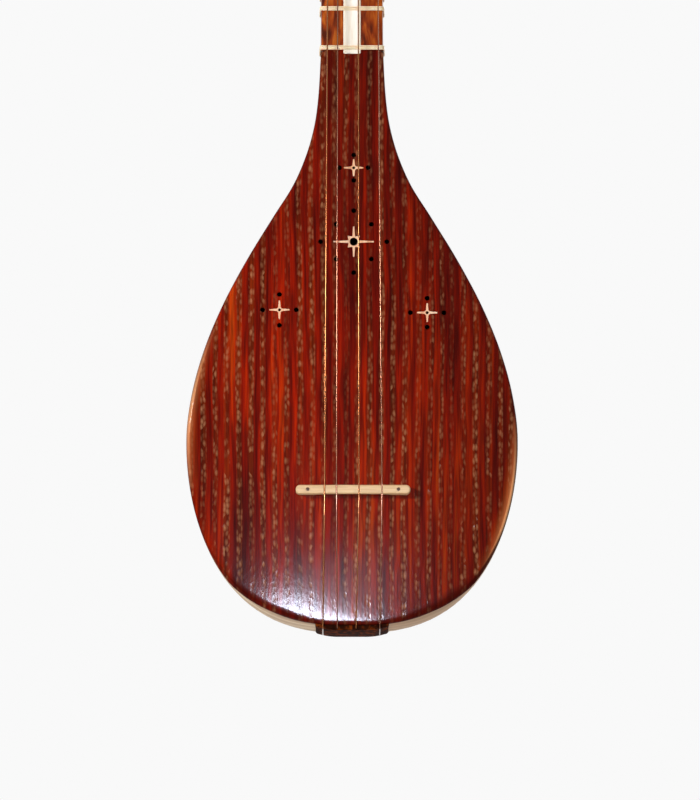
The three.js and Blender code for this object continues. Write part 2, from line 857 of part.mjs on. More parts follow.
// Fingerboard: a walnut strip on each side of the bone strip, flush with the neck's sides
function buildFingerboardStrip(side) {
  const inner = boneStripWidth / 2 + seatGap;
  const low = jointPlace + seatGap;
  const high = nutPlace - nutThickness / 2 - seatGap;
  const rings = [];
  for (let i = 0; i <= neckStations; i += 1) {
    const z = THREE.MathUtils.lerp(low, high, i / neckStations);
    const base = neckSide(z, stripBase);
    const face = neckSide(z, fingerboardFace);
    const outline = [
      [inner, stripBase],
      [base, stripBase],
      [face, fingerboardFace - fingerboardEdge],
      [face - fingerboardEdge, fingerboardFace],
      [inner, fingerboardFace],
    ];
    rings.push(outline.map(([x, level]) => new THREE.Vector3(side * x, -level, z)));
  }
  return loft(rings);
}

addPiece('fingerboard_treble', buildFingerboardStrip(1), finishes.fingerboard);
addPiece('fingerboard_bass', buildFingerboardStrip(-1), finishes.fingerboard);
addPiece('fingerboard_bone_strip', alongY(boneStripOutline(0), -fingerboardFace, -stripBase), finishes.bone);

// Grows a flat convex outline by a distance, keeping each side parallel to itself
function grownOutline(points, distance) {
  const count = points.length;
  return points.map((point, i) => {
    const before = points[(i + count - 1) % count];
    const after = points[(i + 1) % count];
    const arriving = new THREE.Vector2(point.x - before.x, point.y - before.y).normalize();
    const leaving = new THREE.Vector2(after.x - point.x, after.y - point.y).normalize();
    const first = new THREE.Vector2(arriving.y, -arriving.x);
    const second = new THREE.Vector2(leaving.y, -leaving.x);
    const outward = first.clone().add(second);
    const reach = (2 * distance) / outward.lengthSq();
    return new THREE.Vector3(point.x + outward.x * reach, point.y + outward.y * reach, point.z);
  });
}

// The outline of neck and fingerboard together, which the gut bands are tied round
function neckOutline(z) {
  const side = neckSide(z, fingerboardFace);
  const spot = (x, level) => new THREE.Vector3(x, -level, z);
  return [
    spot(-side + fingerboardEdge, fingerboardFace),
    spot(side - fingerboardEdge, fingerboardFace),
    spot(side, fingerboardFace - fingerboardEdge),
    ...neckBackArc(z),
    spot(-side, fingerboardFace - fingerboardEdge),
  ];
}

// A gut fret: a rounded band of tied turns that follows the neck's outline
function buildFret(z) {
  const outline = neckOutline(z);
  const section = [
    [0, -gutBandWidth / 2],
    [gutHeight * gutShoulderShare, -gutBandWidth / 2],
    [gutHeight, 0],
    [gutHeight * gutShoulderShare, gutBandWidth / 2],
    [0, gutBandWidth / 2],
  ];
  const loops = section.map(([height, along]) => grownOutline(outline, seatGap + height).map((point) => {
    point.z = z + along;
    return point;
  }));
  const rings = outline.map((_, i) => loops.map((points) => points[i]));
  return loft(rings, true);
}

fretCents.forEach((cents, i) => {
  const fromBridge = speakingLength / 2 ** (cents / octaveCents);
  addPiece(`fret_${String(i + 1).padStart(2, '0')}`, buildFret(bridgePlace + fromBridge), finishes.gut);
});

// Strings, each one cord from its tail hook over bridge and nut to its winding on the peg
const bridgeStringLevel = boardFace(0, bridgePlace - bowlBase) + seatGap + bridgeHeight;

function pegWinding(peg, i) {
  const radius = stringDiameters[i] / 2;
  const reach = pegRadius + seatGap + radius;
  const pitch = stringDiameters[i] + windingPitchGap;
  const sideways = new THREE.Vector3(0, 0, 1);
  const away = peg.fromFront ? new THREE.Vector3(1, 0, 0) : new THREE.Vector3(0, -1, 0);
  const points = [];
  for (let step = 0; step <= windingTurns * loopSteps; step += 1) {
    const turn = (2 * Math.PI * step) / loopSteps;
    const point = peg.at(peg.surface + windingStart + (pitch * step) / loopSteps);
    point.addScaledVector(away, reach * Math.cos(turn));
    point.addScaledVector(sideways, reach * Math.sin(turn));
    points.push(point);
  }
  return points;
}

// The least gap between a winding's loops, measured between its points more than half a loop apart
function leastGap(points, diameter) {
  let least = Infinity;
  for (let i = 0; i < points.length; i += 1) {
    for (let j = i + loopSteps / 2; j < points.length; j += 1) {
      least = Math.min(least, points[i].distanceTo(points[j]));
    }
  }
  return least - diameter;
}

function tailRun(i) {
  const x = (tailpieceWidth / 2) * tailStringShares[i];
  const radius = stringDiameters[i] / 2;
  const front = -faceLevel - seatGap - radius;
  const points = [new THREE.Vector3(x, tailHookPlace, tailStringLift)];
  for (let step = 0; step <= cornerSteps; step += 1) {
    const turn = (quarterTurn * step) / cornerSteps;
    points.push(new THREE.Vector3(
      x,
      front + tailStringBend - tailStringBend * Math.sin(turn),
      tailStringLift + tailStringBend - tailStringBend * Math.cos(turn),
    ));
  }
  return points;
}

function bridgeCrossing(i) {
  return new THREE.Vector3((bridgeLength / 2) * bridgeStringShares[i], -bridgeStringLevel, bridgePlace);
}

function nutCrossing(i) {
  return new THREE.Vector3(nutHalfWidth * nutStringShares[i], -nutStringLevel, nutPlace);
}

function stringRoute(i) {
  return [...tailRun(i), bridgeCrossing(i), nutCrossing(i), ...pegWinding(pegs[i], i)];
}

pegs.forEach((peg, i) => {
  const radius = stringDiameters[i] / 2;
  const gap = leastGap(pegWinding(peg, i), stringDiameters[i]);
  console.log(`${stringNames[i]} string winding: ${windingTurns} loops, least gap ${gap.toFixed(2)} mm`);
  const metal = i === 1 || i === 3 ? finishes.bronze : finishes.steel;
  addPiece(`string_${stringNames[i]}`, cordAlong(stringRoute(i), radius, cordSides), metal);
});

// A straight cutter along a string's way over a bearing edge
function stringGroove(i, middle) {
  const reach = new THREE.Vector3(0, 0, bridgeThickness);
  const radius = stringDiameters[i] / 2 + seatGap;
  const [before, after] = [tailRun(i).at(-1), nutCrossing(i)];
  const slope = (from, to) => new THREE.Vector3().subVectors(to, from).divideScalar(to.z - from.z);
  const rising = middle === nutCrossing ? slope(bridgeCrossing(i), after) : slope(before, bridgeCrossing(i));
  const leaving = middle === nutCrossing
    ? slope(after, pegWinding(pegs[i], i)[0])
    : slope(bridgeCrossing(i), after);
  const spot = middle(i);
  return cordAlong([
    spot.clone().addScaledVector(rising, -reach.z),
    spot,
    spot.clone().addScaledVector(leaving, reach.z),
  ], radius, holeSides);
}

// The bridge: a bar with round ends, two feet and an arch between them
function buildBridge() {
  const half = bridgeLength / 2;
  const round = bridgeThickness / 2;
  const plan = new THREE.Shape();
  plan.absarc(bridgeOffset + half - round, bridgePlace, round, -quarterTurn, quarterTurn, false);
  plan.absarc(bridgeOffset - half + round, bridgePlace, round, quarterTurn, 3 * quarterTurn, false);
  plan.closePath();
  const footLevel = boardFace(half, bridgePlace - bowlBase) + seatGap;
  const middleLevel = boardFace(0, bridgePlace - bowlBase) + seatGap;
  const slab = alongY(plan, -bridgeStringLevel, -footLevel);
  const arch = new THREE.Shape();
  const [left, right] = [bridgeOffset - half + bridgeFootLength, bridgeOffset + half - bridgeFootLength];
  const back = -footLevel + cutOverrun;
  arch.moveTo(left, back);
  arch.lineTo(left, -middleLevel);
  arch.bezierCurveTo(
    left + bridgeFootLength,
    -middleLevel - bridgeArchHeight * 4 / 3,
    right - bridgeFootLength,
    -middleLevel - bridgeArchHeight * 4 / 3,
    right,
    -middleLevel,
  );
  arch.lineTo(right, back);
  arch.closePath();
  const tunnel = new THREE.ExtrudeGeometry(arch, {
    depth: bridgeThickness + 2 * cutOverrun,
    bevelEnabled: false,
    curveSegments: 2 * cornerSteps,
  });
  tunnel.translate(0, 0, bridgePlace - bridgeThickness / 2 - cutOverrun);
  const tools = [tunnel];
  for (let i = 0; i < pegs.length; i += 1) tools.push(stringGroove(i, bridgeCrossing));
  [bridgeEyeInset - half, half - bridgeEyeInset].forEach((place) => {
    tools.push(bar(
      new THREE.Vector3(bridgeOffset + place, -bridgeStringLevel - cutOverrun, bridgePlace),
      new THREE.Vector3(bridgeOffset + place, -bridgeStringLevel + bridgeEyeDepth, bridgePlace),
      bridgeEyeRadius,
      bridgeEyeRadius,
      holeSides,
    ));
  });
  return cut(slab, tools);
}

addPiece('bridge', buildBridge(), finishes.bridge);

// The nut: a bone bar across the neck with a rounded top and four string notches
function buildNut() {
  const half = neckSide(nutPlace, fingerboardFace) - seatGap;
  const low = nutPlace - nutThickness / 2;
  const high = nutPlace + nutThickness / 2;
  const ring = (x) => [
    [stripBase, low],
    [nutStringLevel - nutThickness / 3, low],
    [nutStringLevel, low + nutThickness / 3],
    [nutStringLevel, high - nutThickness / 3],
    [nutStringLevel - nutThickness / 3, high],
    [stripBase, high],
  ].map(([level, z]) => new THREE.Vector3(x, -level, z));
  const tools = pegs.map((_, i) => stringGroove(i, nutCrossing));
  return cut(loft([ring(-half), ring(half)]), tools);
}

addPiece('nut', buildNut(), finishes.bone);

// The tailpiece: a thin block that hugs the bowl's tail, with a slot under it for each string
function buildTailpiece() {
  const half = tailpieceWidth / 2;
  const outline = new THREE.Shape();
  outline.moveTo(-tailpieceFlatWidth / 2, 0);
  outline.lineTo(tailpieceFlatWidth / 2, 0);
  outline.quadraticCurveTo(half - tailpieceCorner, tailpieceRise / 3, half - tailpieceCorner, tailpieceRise);
  outline.quadraticCurveTo(half, tailpieceRise, half, tailpieceRise + tailpieceCorner);
  outline.lineTo(half, tailpieceHeight);
  outline.lineTo(-half, tailpieceHeight);
  outline.lineTo(-half, tailpieceRise + tailpieceCorner);
  outline.quadraticCurveTo(-half, tailpieceRise, -half + tailpieceCorner, tailpieceRise);
  outline.quadraticCurveTo(-half + tailpieceCorner, tailpieceRise / 3, -tailpieceFlatWidth / 2, 0);
  const body = alongY(outline, -faceLevel, tailpieceBack);
  const edge = new THREE.Shape();
  const places = boardPlaces().filter((place) => rimHalfWidth(place) < tailpieceWidth);
  const side = places.map((place) => [rimHalfWidth(place) + seatGap, bowlBase + place - seatGap]);
  edge.moveTo(-side[0][0], side[0][1]);
  side.forEach(([x, z]) => edge.lineTo(x, z));
  edge.lineTo(0, tailpieceHeight * 2);
  side.slice(1).reverse().forEach(([x, z]) => edge.lineTo(-x, z));
  edge.closePath();
  const tools = [
    bowlFilling(-seatGap),
    alongY(edge, -faceLevel - cutOverrun, -rimOffset + seatGap),
  ];
  for (let i = 0; i < pegs.length; i += 1) {
    tools.push(cordAlong(tailRun(i), stringDiameters[i] / 2 + seatGap, holeSides));
  }
  return cut(body, tools);
}

addPiece('tailpiece', buildTailpiece(), finishes.tailpiece);

export default setar;
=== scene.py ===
import math

import bmesh
import bpy
from mathutils import Matrix, Quaternion, Vector


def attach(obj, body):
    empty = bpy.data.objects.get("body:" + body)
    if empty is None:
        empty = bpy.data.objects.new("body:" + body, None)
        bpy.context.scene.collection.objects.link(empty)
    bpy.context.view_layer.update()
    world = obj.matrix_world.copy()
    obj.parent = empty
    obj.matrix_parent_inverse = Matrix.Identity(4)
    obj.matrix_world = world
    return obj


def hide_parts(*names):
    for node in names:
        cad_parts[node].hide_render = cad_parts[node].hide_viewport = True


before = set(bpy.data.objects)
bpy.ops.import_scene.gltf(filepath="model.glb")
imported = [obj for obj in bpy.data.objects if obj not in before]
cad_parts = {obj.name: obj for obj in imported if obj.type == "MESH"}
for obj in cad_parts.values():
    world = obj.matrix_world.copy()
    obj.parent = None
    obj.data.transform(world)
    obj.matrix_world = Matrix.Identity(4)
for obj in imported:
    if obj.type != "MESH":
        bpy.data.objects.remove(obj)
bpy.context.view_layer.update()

# Shapes are worked out in millimetres and turned into metres when a piece is finished.
# +Z runs from the tail to the head, the soundboard faces -Y and the treble side is +X.
# The solids of glued or seated parts are kept this far apart.
clearance = 0.3
# Points nearer to each other than this count as one
tiny = 1e-4
print("setar: frame loaded")


def quarterTurn(steps, first=0):
    return [math.pi / 2 * i / steps for i in range(first, steps + 1)]


def linearColour(hexValue):
    channels = [int(hexValue[i:i + 2], 16) / 255 for i in (1, 3, 5)]
    return [c / 12.92 if c <= 0.04045 else ((c + 0.055) / 1.055) ** 2.4 for c in channels] + [1]


# Sets a node up. A setting that is a node or a socket gets linked, and a hex value is a colour.
def setUp(node, settings):
    for key, value in settings.items():
        if isinstance(value, str) and value.startswith("#"):
            value = linearColour(value)
        if isinstance(value, bpy.types.Node):
            value = value.outputs[0]
        if isinstance(value, bpy.types.NodeSocket):
            node.id_data.links.new(value, node.inputs[key])
        elif key == "stops":
            ramp = node.color_ramp.elements
            while len(ramp) < len(value):
                ramp.new(0.5)
            for stop, (place, colour) in zip(ramp, value):
                stop.position = place
                stop.color = linearColour(colour)
        elif key in ("from", "to"):
            for end, limit in zip((" Min", " Max"), value):
                node.inputs[key.title() + end].default_value = limit
        elif isinstance(key, int) or key in node.inputs:
            node.inputs[key].default_value = value
        else:
            setattr(node, key, value)
    return node


# The helper that adds a node to one tree
def adderFor(tree):
    return lambda kind, settings={}: setUp(tree.nodes.new("ShaderNode" + kind), settings)


def newMaterial(name, settings):
    material = bpy.data.materials.new(name)
    material.use_nodes = True
    tree = material.node_tree
    return material, adderFor(tree), setUp(tree.nodes["Principled BSDF"], settings)


# A sheet of faces bent into shape: place(i, j) gives the point of column i and row j, pattern(i, j) its
# spot on the piece's own UV map in millimetres. A wrapped sheet closes on itself and gets end faces.
def shapedGrid(columns, rows, place, pattern=None, wrapped=True):
    bm = bmesh.new()
    bmesh.ops.create_grid(bm, x_segments=columns, y_segments=rows, size=1)
    spots = {v: (round((v.co.x + 1) / 2 * columns), round((v.co.y + 1) / 2 * rows)) for v in bm.verts}
    if pattern:
        layer = bm.loops.layers.uv.new("grain")
        for face in bm.faces:
            for loop in face.loops:
                loop[layer].uv = [value * 0.001 for value in pattern(*spots[loop.vert])]
    for v, (i, j) in spots.items():
        v.co = place(i % columns if wrapped else i, j)
    if wrapped:
        bmesh.ops.remove_doubles(bm, verts=bm.verts, dist=tiny)
        bmesh.ops.holes_fill(bm, edges=[e for e in bm.edges if e.is_boundary], sides=0)
    bmesh.ops.recalc_face_normals(bm, faces=bm.faces)
    return bm


# A flat outline, made solid by moving it along a way
def slab(points, way):
    bm = bmesh.new()
    face = bm.faces.new([bm.verts.new(point) for point in points])
    grown = bmesh.ops.extrude_face_region(bm, geom=[face])
    moved = [v for v in grown["geom"] if isinstance(v, bmesh.types.BMVert)]
    bmesh.ops.translate(bm, verts=moved, vec=way)
    bmesh.ops.recalc_face_normals(bm, faces=bm.faces)
    return bm


def slabAlongY(outline, front, back):
    return slab([(x, front, z) for x, z in outline], (0, back - front, 0))


# The edges that lie in a plane across the Y axis
def rimAt(bm, y):
    return [e for e in bm.edges if all(abs(v.co.y - y) < tiny for v in e.verts)]


def roundEdges(bm, edges, offset, segments):
    bmesh.ops.bevel(
        bm, geom=edges, offset=offset, segments=segments, profile=0.5, affect="EDGES", material=-1,
    )


def roundBar(start, end, startRadius, endRadius, sides=24):
    bm = bmesh.new()
    line = Vector(end) - Vector(start)
    turn = line.to_track_quat("Z", "Y").to_matrix().to_4x4()
    bmesh.ops.create_cone(
        bm, cap_ends=True, segments=sides, radius1=startRadius, radius2=endRadius, depth=line.length,
        matrix=Matrix.Translation((Vector(start) + Vector(end)) / 2) @ turn,
    )
    return bm


# A round cord through a list of points, with its rings turned as little as possible from one to the next
def roundCord(points, radius, sides=10, closed=False):
    count = len(points)
    ends = range(count)
    ahead = [points[(i + 1) % count] if closed else points[min(i + 1, count - 1)] for i in ends]
    behind = [points[(i - 1) % count] if closed else points[max(i - 1, 0)] for i in ends]
    ways = [(a - b).normalized() for a, b in zip(ahead, behind)]
    across = ways[0].orthogonal().normalized()
    sideways = []
    for i in ends:
        if i:
            across = ways[i - 1].rotation_difference(ways[i]) @ across
        sideways.append(across.copy())
    length = [0.0]
    for a, b in zip(points, points[1:]):
        length.append(length[-1] + (b - a).length)
    slip = 0.0
    if closed:
        last = ways[-1].rotation_difference(ways[0]) @ sideways[-1]
        slip = math.atan2(last.cross(sideways[0]).dot(ways[0]), last.dot(sideways[0]))

    def place(i, j):
        j = j % count
        turn = 2 * math.pi * i / sides + slip * j / count
        side = sideways[j] * math.cos(turn) + ways[j].cross(sideways[j]) * math.sin(turn)
        return points[j] + side * radius

    def pattern(i, j):
        return 2 * math.pi * radius * i / sides, length[min(j, count - 1)]

    return shapedGrid(sides, count if closed else count - 1, place, pattern)


def addObject(name, data):
    thing = bpy.data.objects.new(name, data)
    bpy.context.collection.objects.link(thing)
    return thing


def merged(parts):
    whole = bmesh.new()
    for part in parts:
        mesh = bpy.data.meshes.new("part")
        part.to_mesh(mesh)
        part.free()
        whole.from_mesh(mesh)
        bpy.data.meshes.remove(mesh)
    return whole


# Cuts away or adds other solids with exact booleans, one after the other
def carved(bm, tools, operation="DIFFERENCE"):
    made = []
    for source in [bm, *tools]:
        mesh = bpy.data.meshes.new("carving")
        source.to_mesh(mesh)
        source.free()
        made.append(addObject("carving", mesh))
    for tool in made[1:]:
        step = made[0].modifiers.new("carve", "BOOLEAN")
        step.operation = operation
        step.solver = "EXACT"
        step.object = tool
    seen = made[0].evaluated_get(bpy.context.evaluated_depsgraph_get())
    result = bmesh.new()
    result.from_mesh(seen.to_mesh())
    seen.to_mesh_clear()
    for thing in made:
        mesh = thing.data
        bpy.data.objects.remove(thing)
        bpy.data.meshes.remove(mesh)
    return result


def finishPiece(name, bm, material, body, nodes, sharp=38):
    bmesh.ops.scale(bm, vec=(0.001, 0.001, 0.001), verts=bm.verts)
    mesh = bpy.data.meshes.new(name)
    bm.to_mesh(mesh)
    bm.free()
    mesh.materials.append(material)
    mesh.polygons.foreach_set("use_smooth", [True] * len(mesh.polygons))
    mesh.set_sharp_from_angle(angle=math.radians(sharp))
    piece = addObject(name, mesh)
    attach(piece, body)
    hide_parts(*nodes)


# The photograph looks along +Y from a little below, through a long lens
camera = {
    "target": (-0.001, -0.0203, 0.1127), "elevation": -7.0, "distance": 5.5, "millimetresPerPixel": 0.488,
    "pictureHeight": 800, "sensor": 36,
}

eye = math.radians(camera["elevation"])
back = Vector((0, -math.cos(eye), math.sin(eye)))
shownHeight = camera["millimetresPerPixel"] * camera["pictureHeight"] / 1000
cameraData = bpy.data.cameras.new("camera")
cameraData.lens = camera["sensor"] * camera["distance"] / shownHeight
cameraData.sensor_width = camera["sensor"]
cameraData.clip_end = 60
cameraObject = addObject("camera", cameraData)
cameraObject.location = Vector(camera["target"]) + back * camera["distance"]
cameraObject.rotation_mode = "QUATERNION"
cameraObject.rotation_quaternion = (-back).to_track_quat("-Z", "Y")
bpy.context.scene.camera = cameraObject
bpy.context.scene.view_settings.view_transform = "Standard"

# A plain pale floor well under the hanging instrument, and soft lamps
stage = {
    "floorLevel": -0.62,
    "floorSize": 60,
    "backgroundColour": "#f9f9f9",
    "fillStrength": 0.42,
    "floorGlow": 0.65,
}
lamps = {
    "keyLamp": {
        "spot": (-0.7, -0.88, 0.32), "aim": (0, 0, 0.13), "size": (0.25, 0.08), "roll": 0, "watts": 8.8,
    },
    "sideLamp": {"spot": (-0.75, -0.35, -0.5), "aim": (0, 0, 0.1), "size": (0.4, 0.4), "roll": 0, "watts": 1},
    "backLamp": {"spot": (1.05, 1.3, 0.45), "aim": (0, 0, 0.3), "size": (0.7, 0.7), "roll": 0, "watts": 11},
    "tailLamp": {
        "spot": (-0.07, -2.3, -0.02), "aim": (-0.02, 0, 0.01), "size": (0.24, 0.06), "roll": -45,
        "watts": 40, "tint": "#dfe8ff", "glossOnly": True,
    },
    "hazeLamp": {
        "spot": (-0.01, -2.3, 0.08), "aim": (-0.01, 0, 0.04), "size": (0.2, 0.2), "roll": 0,
        "watts": 2.4, "tint": "#dfe8ff", "glossOnly": True,
    },
}


# True for rays that show a surface to the eye: straight from the camera, or by way of a reflection or glass
def seenByEye(add):
    rays = add("LightPath").outputs
    direct = add("Math", {"operation": "MAXIMUM", 0: rays["Is Camera Ray"], 1: rays["Is Glossy Ray"]})
    return add("Math", {"operation": "MAXIMUM", 0: direct, 1: rays["Is Transmission Ray"]})


# Painted floor: most of its pale tone is shown to the eye alone, the rest is lit and keeps the shadow
pale = linearColour(stage["backgroundColour"])
matt = {"Base Color": pale, "Roughness": 0.9, "Specular IOR Level": 0.1}
floorMaterial, add, shader = newMaterial("paleFloor", matt)
glow = add("Emission", {"Color": pale, "Strength": 1.0})
share = add("Math", {"operation": "MULTIPLY", 0: seenByEye(add), 1: stage["floorGlow"]})
blend = add("MixShader", {0: share, 1: shader, 2: glow})
setUp(floorMaterial.node_tree.nodes["Material Output"], {"Surface": blend})
bm = bmesh.new()
bmesh.ops.create_grid(bm, x_segments=1, y_segments=1, size=stage["floorSize"] / 2)
bmesh.ops.translate(bm, verts=bm.verts, vec=(0, 0, stage["floorLevel"]))
mesh = bpy.data.meshes.new("floor")
bm.to_mesh(mesh)
bm.free()
mesh.materials.append(floorMaterial)
addObject("floor", mesh)

world = bpy.data.worlds.new("paleStudio")
bpy.context.scene.world = world
world.use_nodes = True
tree = world.node_tree
add = adderFor(tree)
fill = setUp(tree.nodes["Background"], {"Color": pale, "Strength": stage["fillStrength"]})
seen = add("Background", {"Color": pale, "Strength": 1.0})
blend = add("MixShader", {0: seenByEye(add), 1: fill, 2: seen})
setUp(tree.nodes["World Output"], {"Surface": blend})

for name, lamp in lamps.items():
    light = bpy.data.lights.new(name, "AREA")
    light.shape = "RECTANGLE"
    light.size, light.size_y = lamp["size"]
    light.energy = lamp["watts"]
    light.color = linearColour(lamp.get("tint", "#ffffff"))[:3]
    lampObject = addObject(name, light)
    lampObject.location = lamp["spot"]
    lampObject.rotation_mode = "QUATERNION"
    facing = (Vector(lamp["aim"]) - Vector(lamp["spot"])).to_track_quat("-Z", "Y")
    lampObject.rotation_quaternion = facing @ Quaternion((0, 0, 1), math.radians(lamp["roll"]))
    lampObject.visible_camera = False
    lampObject.visible_diffuse = not lamp.get("glossOnly")
print("setar: camera, floor and lamps placed")


# Mulberry stained red brown under gloss varnish: dark and orange growth bands run along the grain, and rows
# of open pores show as short pale dashes. The pores are drawn coarser than real ones, or they wouldn't show.
boardLook = {
    "bandWidth": 3.4, "bandLength": 120, "patchWidth": 38, "patchLength": 160, "patchShare": 0.35,
    "bands": [(0.36, "#560600"), (0.45, "#740e00"), (0.52, "#8c1500"), (0.6, "#a22400"), (0.7, "#b43f08")],
    "poreRowSpacing": 5.8, "poreWidth": 1.4, "poreLength": 3, "zigzag": 0.6, "poreDepth": 0.2,
    "rowColour": "#682b06", "rowStrength": 0.5, "poreColour": "#bc8058", "poreStrength": 0.6,
    "wobble": 2.2, "fibreWidth": 1.1, "fibreLength": 22, "fibreDepth": 0.4,
    # Painted light: the board is left palest round a spot and darker towards the rim, a painted pool of light
    "deepest": 0.5, "paintedLightCentre": (-0.025, 0, 0.13), "paintedLightReach": (0.08, 1, 0.14),
    # Worn edge and painted highlight: paler tones on the rounded edge, weaker on the bass side
    "wornEdgeAndHighlightTones": [(0.35, "#e8b488"), (0.6, "#f8a468"), (0.78, "#a84a14")],
    "wornEdgeAndHighlightStrength": 0.9, "wornEdgeAndHighlightAtBass": 0.7, "wornEdgeAndHighlightFrom": 50, "wornEdgeAndHighlightTo": 122, "wornEdgeAndHighlightLean": 0.3,
    # Painted shade: a dark line along the board's outer edge, weaker on the bass side
    "edgeShadeColour": "#3a0400", "edgeShadeStrength": 0.9, "edgeShadeAtBass": 0.45, "edgeRoughness": 0.6,
    "textureWidth": 1.2, "textureLength": 2.4, "textureDepth": 0.01, "roughness": 0.1, "specular": 0.04,
}


# The board's UV map counts its rings, so Y grows by 0.001 from the underside over the edge to the middle
def stainedMulberry(name, look):
    material, add, shader = newMaterial(name, {"Specular IOR Level": look["specular"]})
    coordinates = add("TexCoord").outputs
    spot = coordinates["Object"]
    axes = add("SeparateXYZ", {0: spot}).outputs
    edgeRow = add("SeparateXYZ", {0: coordinates["UV"]}).outputs["Y"]

    def swayed(source, scale, amount):
        placed = add("Mapping", {"Scale": scale, "Vector": source})
        noise = add("TexNoise", {"Scale": 1.0, "Detail": 2.0, "Vector": placed}).outputs["Color"]
        centred = add("VectorMath", {"operation": "SUBTRACT", 0: noise, 1: (0.5, 0.5, 0.5)})
        push = {"operation": "MULTIPLY_ADD", 0: centred, 1: (amount * 0.002, 0, 0), 2: source}
        return add("VectorMath", push).outputs[0]

    # A pattern with features of this width and length in millimetres
    def stretched(source, width, length, kind="TexNoise", **settings):
        scale = (1000 / width, 30, 1000 / length if length else 0)
        placed = add("Mapping", {"Scale": scale, "Vector": source})
        return add(kind, {"Scale": 1.0, **settings, "Vector": placed}).outputs["Fac"]

    # From the treble side, where it is full, an effect fades to its share at the bass side
    def towardsBass(share):
        return add("MapRange", {"Value": axes["X"], "from": (-0.08, 0.08), "to": (share, 1)})

    grain = swayed(spot, (30, 30, 9), look["wobble"])
    bands = stretched(grain, look["bandWidth"], look["bandLength"], Detail=3.0, Roughness=0.6)
    patches = stretched(grain, look["patchWidth"], look["patchLength"], Detail=1.0)
    shade = add("Mix", {"data_type": "FLOAT", 0: look["patchShare"], 2: bands, 3: patches})
    base = add("ValToRGB", {"stops": look["bands"], 0: shade})
    rows = stretched(grain, look["poreRowSpacing"] / 0.314, 0, "TexWave", Distortion=2.5, Detail=1.0)
    rowMask = add("MapRange", {"Value": rows, "from": (0.42, 0.85)})
    rowNoise = stretched(grain, 9, 140, Detail=1.0)
    rowPart = add("MapRange", {"Value": rowNoise, "from": (0.35, 0.6), "to": (0.25, 1)})
    rowMask = add("Math", {"operation": "MULTIPLY", 0: rowMask, 1: rowPart})
    rowAmount = add("Math", {"operation": "MULTIPLY", 0: rowMask, 1: look["rowStrength"]})
    brown = add("Mix", {"data_type": "RGBA", 0: rowAmount, 6: base, 7: look["rowColour"]}).outputs[2]
    fibres = stretched(grain, look["fibreWidth"], look["fibreLength"], Detail=2.0)
    tones = (1 - look["fibreDepth"], 1 + look["fibreDepth"])
    fibreMask = add("MapRange", {"Value": fibres, "from": (0.35, 0.65), "to": tones})

    # Painted light: the board is palest round a spot a little to the bass side of the middle and darker
    # towards the rim, a painted pool of light
    offset = add("VectorMath", {"operation": "SUBTRACT", 0: spot, 1: look["paintedLightCentre"]})
    spread = add("VectorMath", {"operation": "DIVIDE", 0: offset, 1: look["paintedLightReach"]})
    reach = add("VectorMath", {"operation": "LENGTH", 0: spread}).outputs["Value"]
    paintedLightPool = add("MapRange", {"Value": reach, "from": (0.1, 1.2), "to": (1, look["deepest"])})
    tone = add("Math", {"operation": "MULTIPLY", 0: fibreMask, 1: paintedLightPool})
    fibred = add("Mix", {"data_type": "RGBA", "blend_type": "MULTIPLY", 0: 1.0, 6: brown, 7: tone})

    # One dash in each cell, some fainter than others, shown only where the rows are
    cellScale = (1000 / look["poreWidth"], 30, 1000 / look["poreLength"])
    rowPath = swayed(grain, (60, 60, 300), look["zigzag"])
    cells = add("Mapping", {"Scale": cellScale, "Vector": rowPath})
    dashes = add("TexVoronoi", {"Scale": 1.0, "Randomness": 0.85, "Vector": cells}).outputs
    dashMask = add("MapRange", {"Value": dashes["Distance"], "from": (0.7, 0.15)})
    chance = add("SeparateXYZ", {0: dashes["Color"]})
    dashTone = add("MapRange", {"Value": chance, "from": (0.2, 0.8)})
    dashMask = add("Math", {"operation": "MULTIPLY", 0: dashMask, 1: dashTone})
    pores = add("Math", {"operation": "MULTIPLY", 0: rowMask, 1: dashMask})
    amount = add("Math", {"operation": "MULTIPLY", 0: pores, 1: look["poreStrength"]})
    colour = add("Mix", {"data_type": "RGBA", 0: amount, 6: fibred.outputs[2], 7: look["poreColour"]})

    # The player's arm rubs the stain off the rounded edge where the bowl is widest, and the pale cream on its
    # outermost rows is also a painted highlight, weaker on the bass side
    outside = add("MapRange", {"Value": edgeRow, "from": (0.0062, 0.0082), "to": (1, 0)})
    along = add("Math", {"operation": "MULTIPLY_ADD", 0: axes["X"], 1: look["wornEdgeAndHighlightLean"], 2: axes["Z"]})
    first, last, strength = look["wornEdgeAndHighlightFrom"] / 1000, look["wornEdgeAndHighlightTo"] / 1000, look["wornEdgeAndHighlightStrength"]
    wearAndPaintedHighlight = add("MapRange", {"Value": along, "from": (first - 0.005, first + 0.025)})
    fade = add("MapRange", {"Value": along, "from": (last - 0.03, last + 0.008), "to": (strength, 0)})
    for part in (fade, outside, towardsBass(look["wornEdgeAndHighlightAtBass"])):
        wearAndPaintedHighlight = add("Math", {"operation": "MULTIPLY", 0: wearAndPaintedHighlight, 1: part})
    edgeShare = add("Math", {"operation": "MULTIPLY", 0: edgeRow, 1: 100.0})
    bareWoodAndHighlight = add("ValToRGB", {"stops": look["wornEdgeAndHighlightTones"], 0: edgeShare})
    colour = add("Mix", {"data_type": "RGBA", 0: wearAndPaintedHighlight, 6: colour.outputs[2], 7: bareWoodAndHighlight})

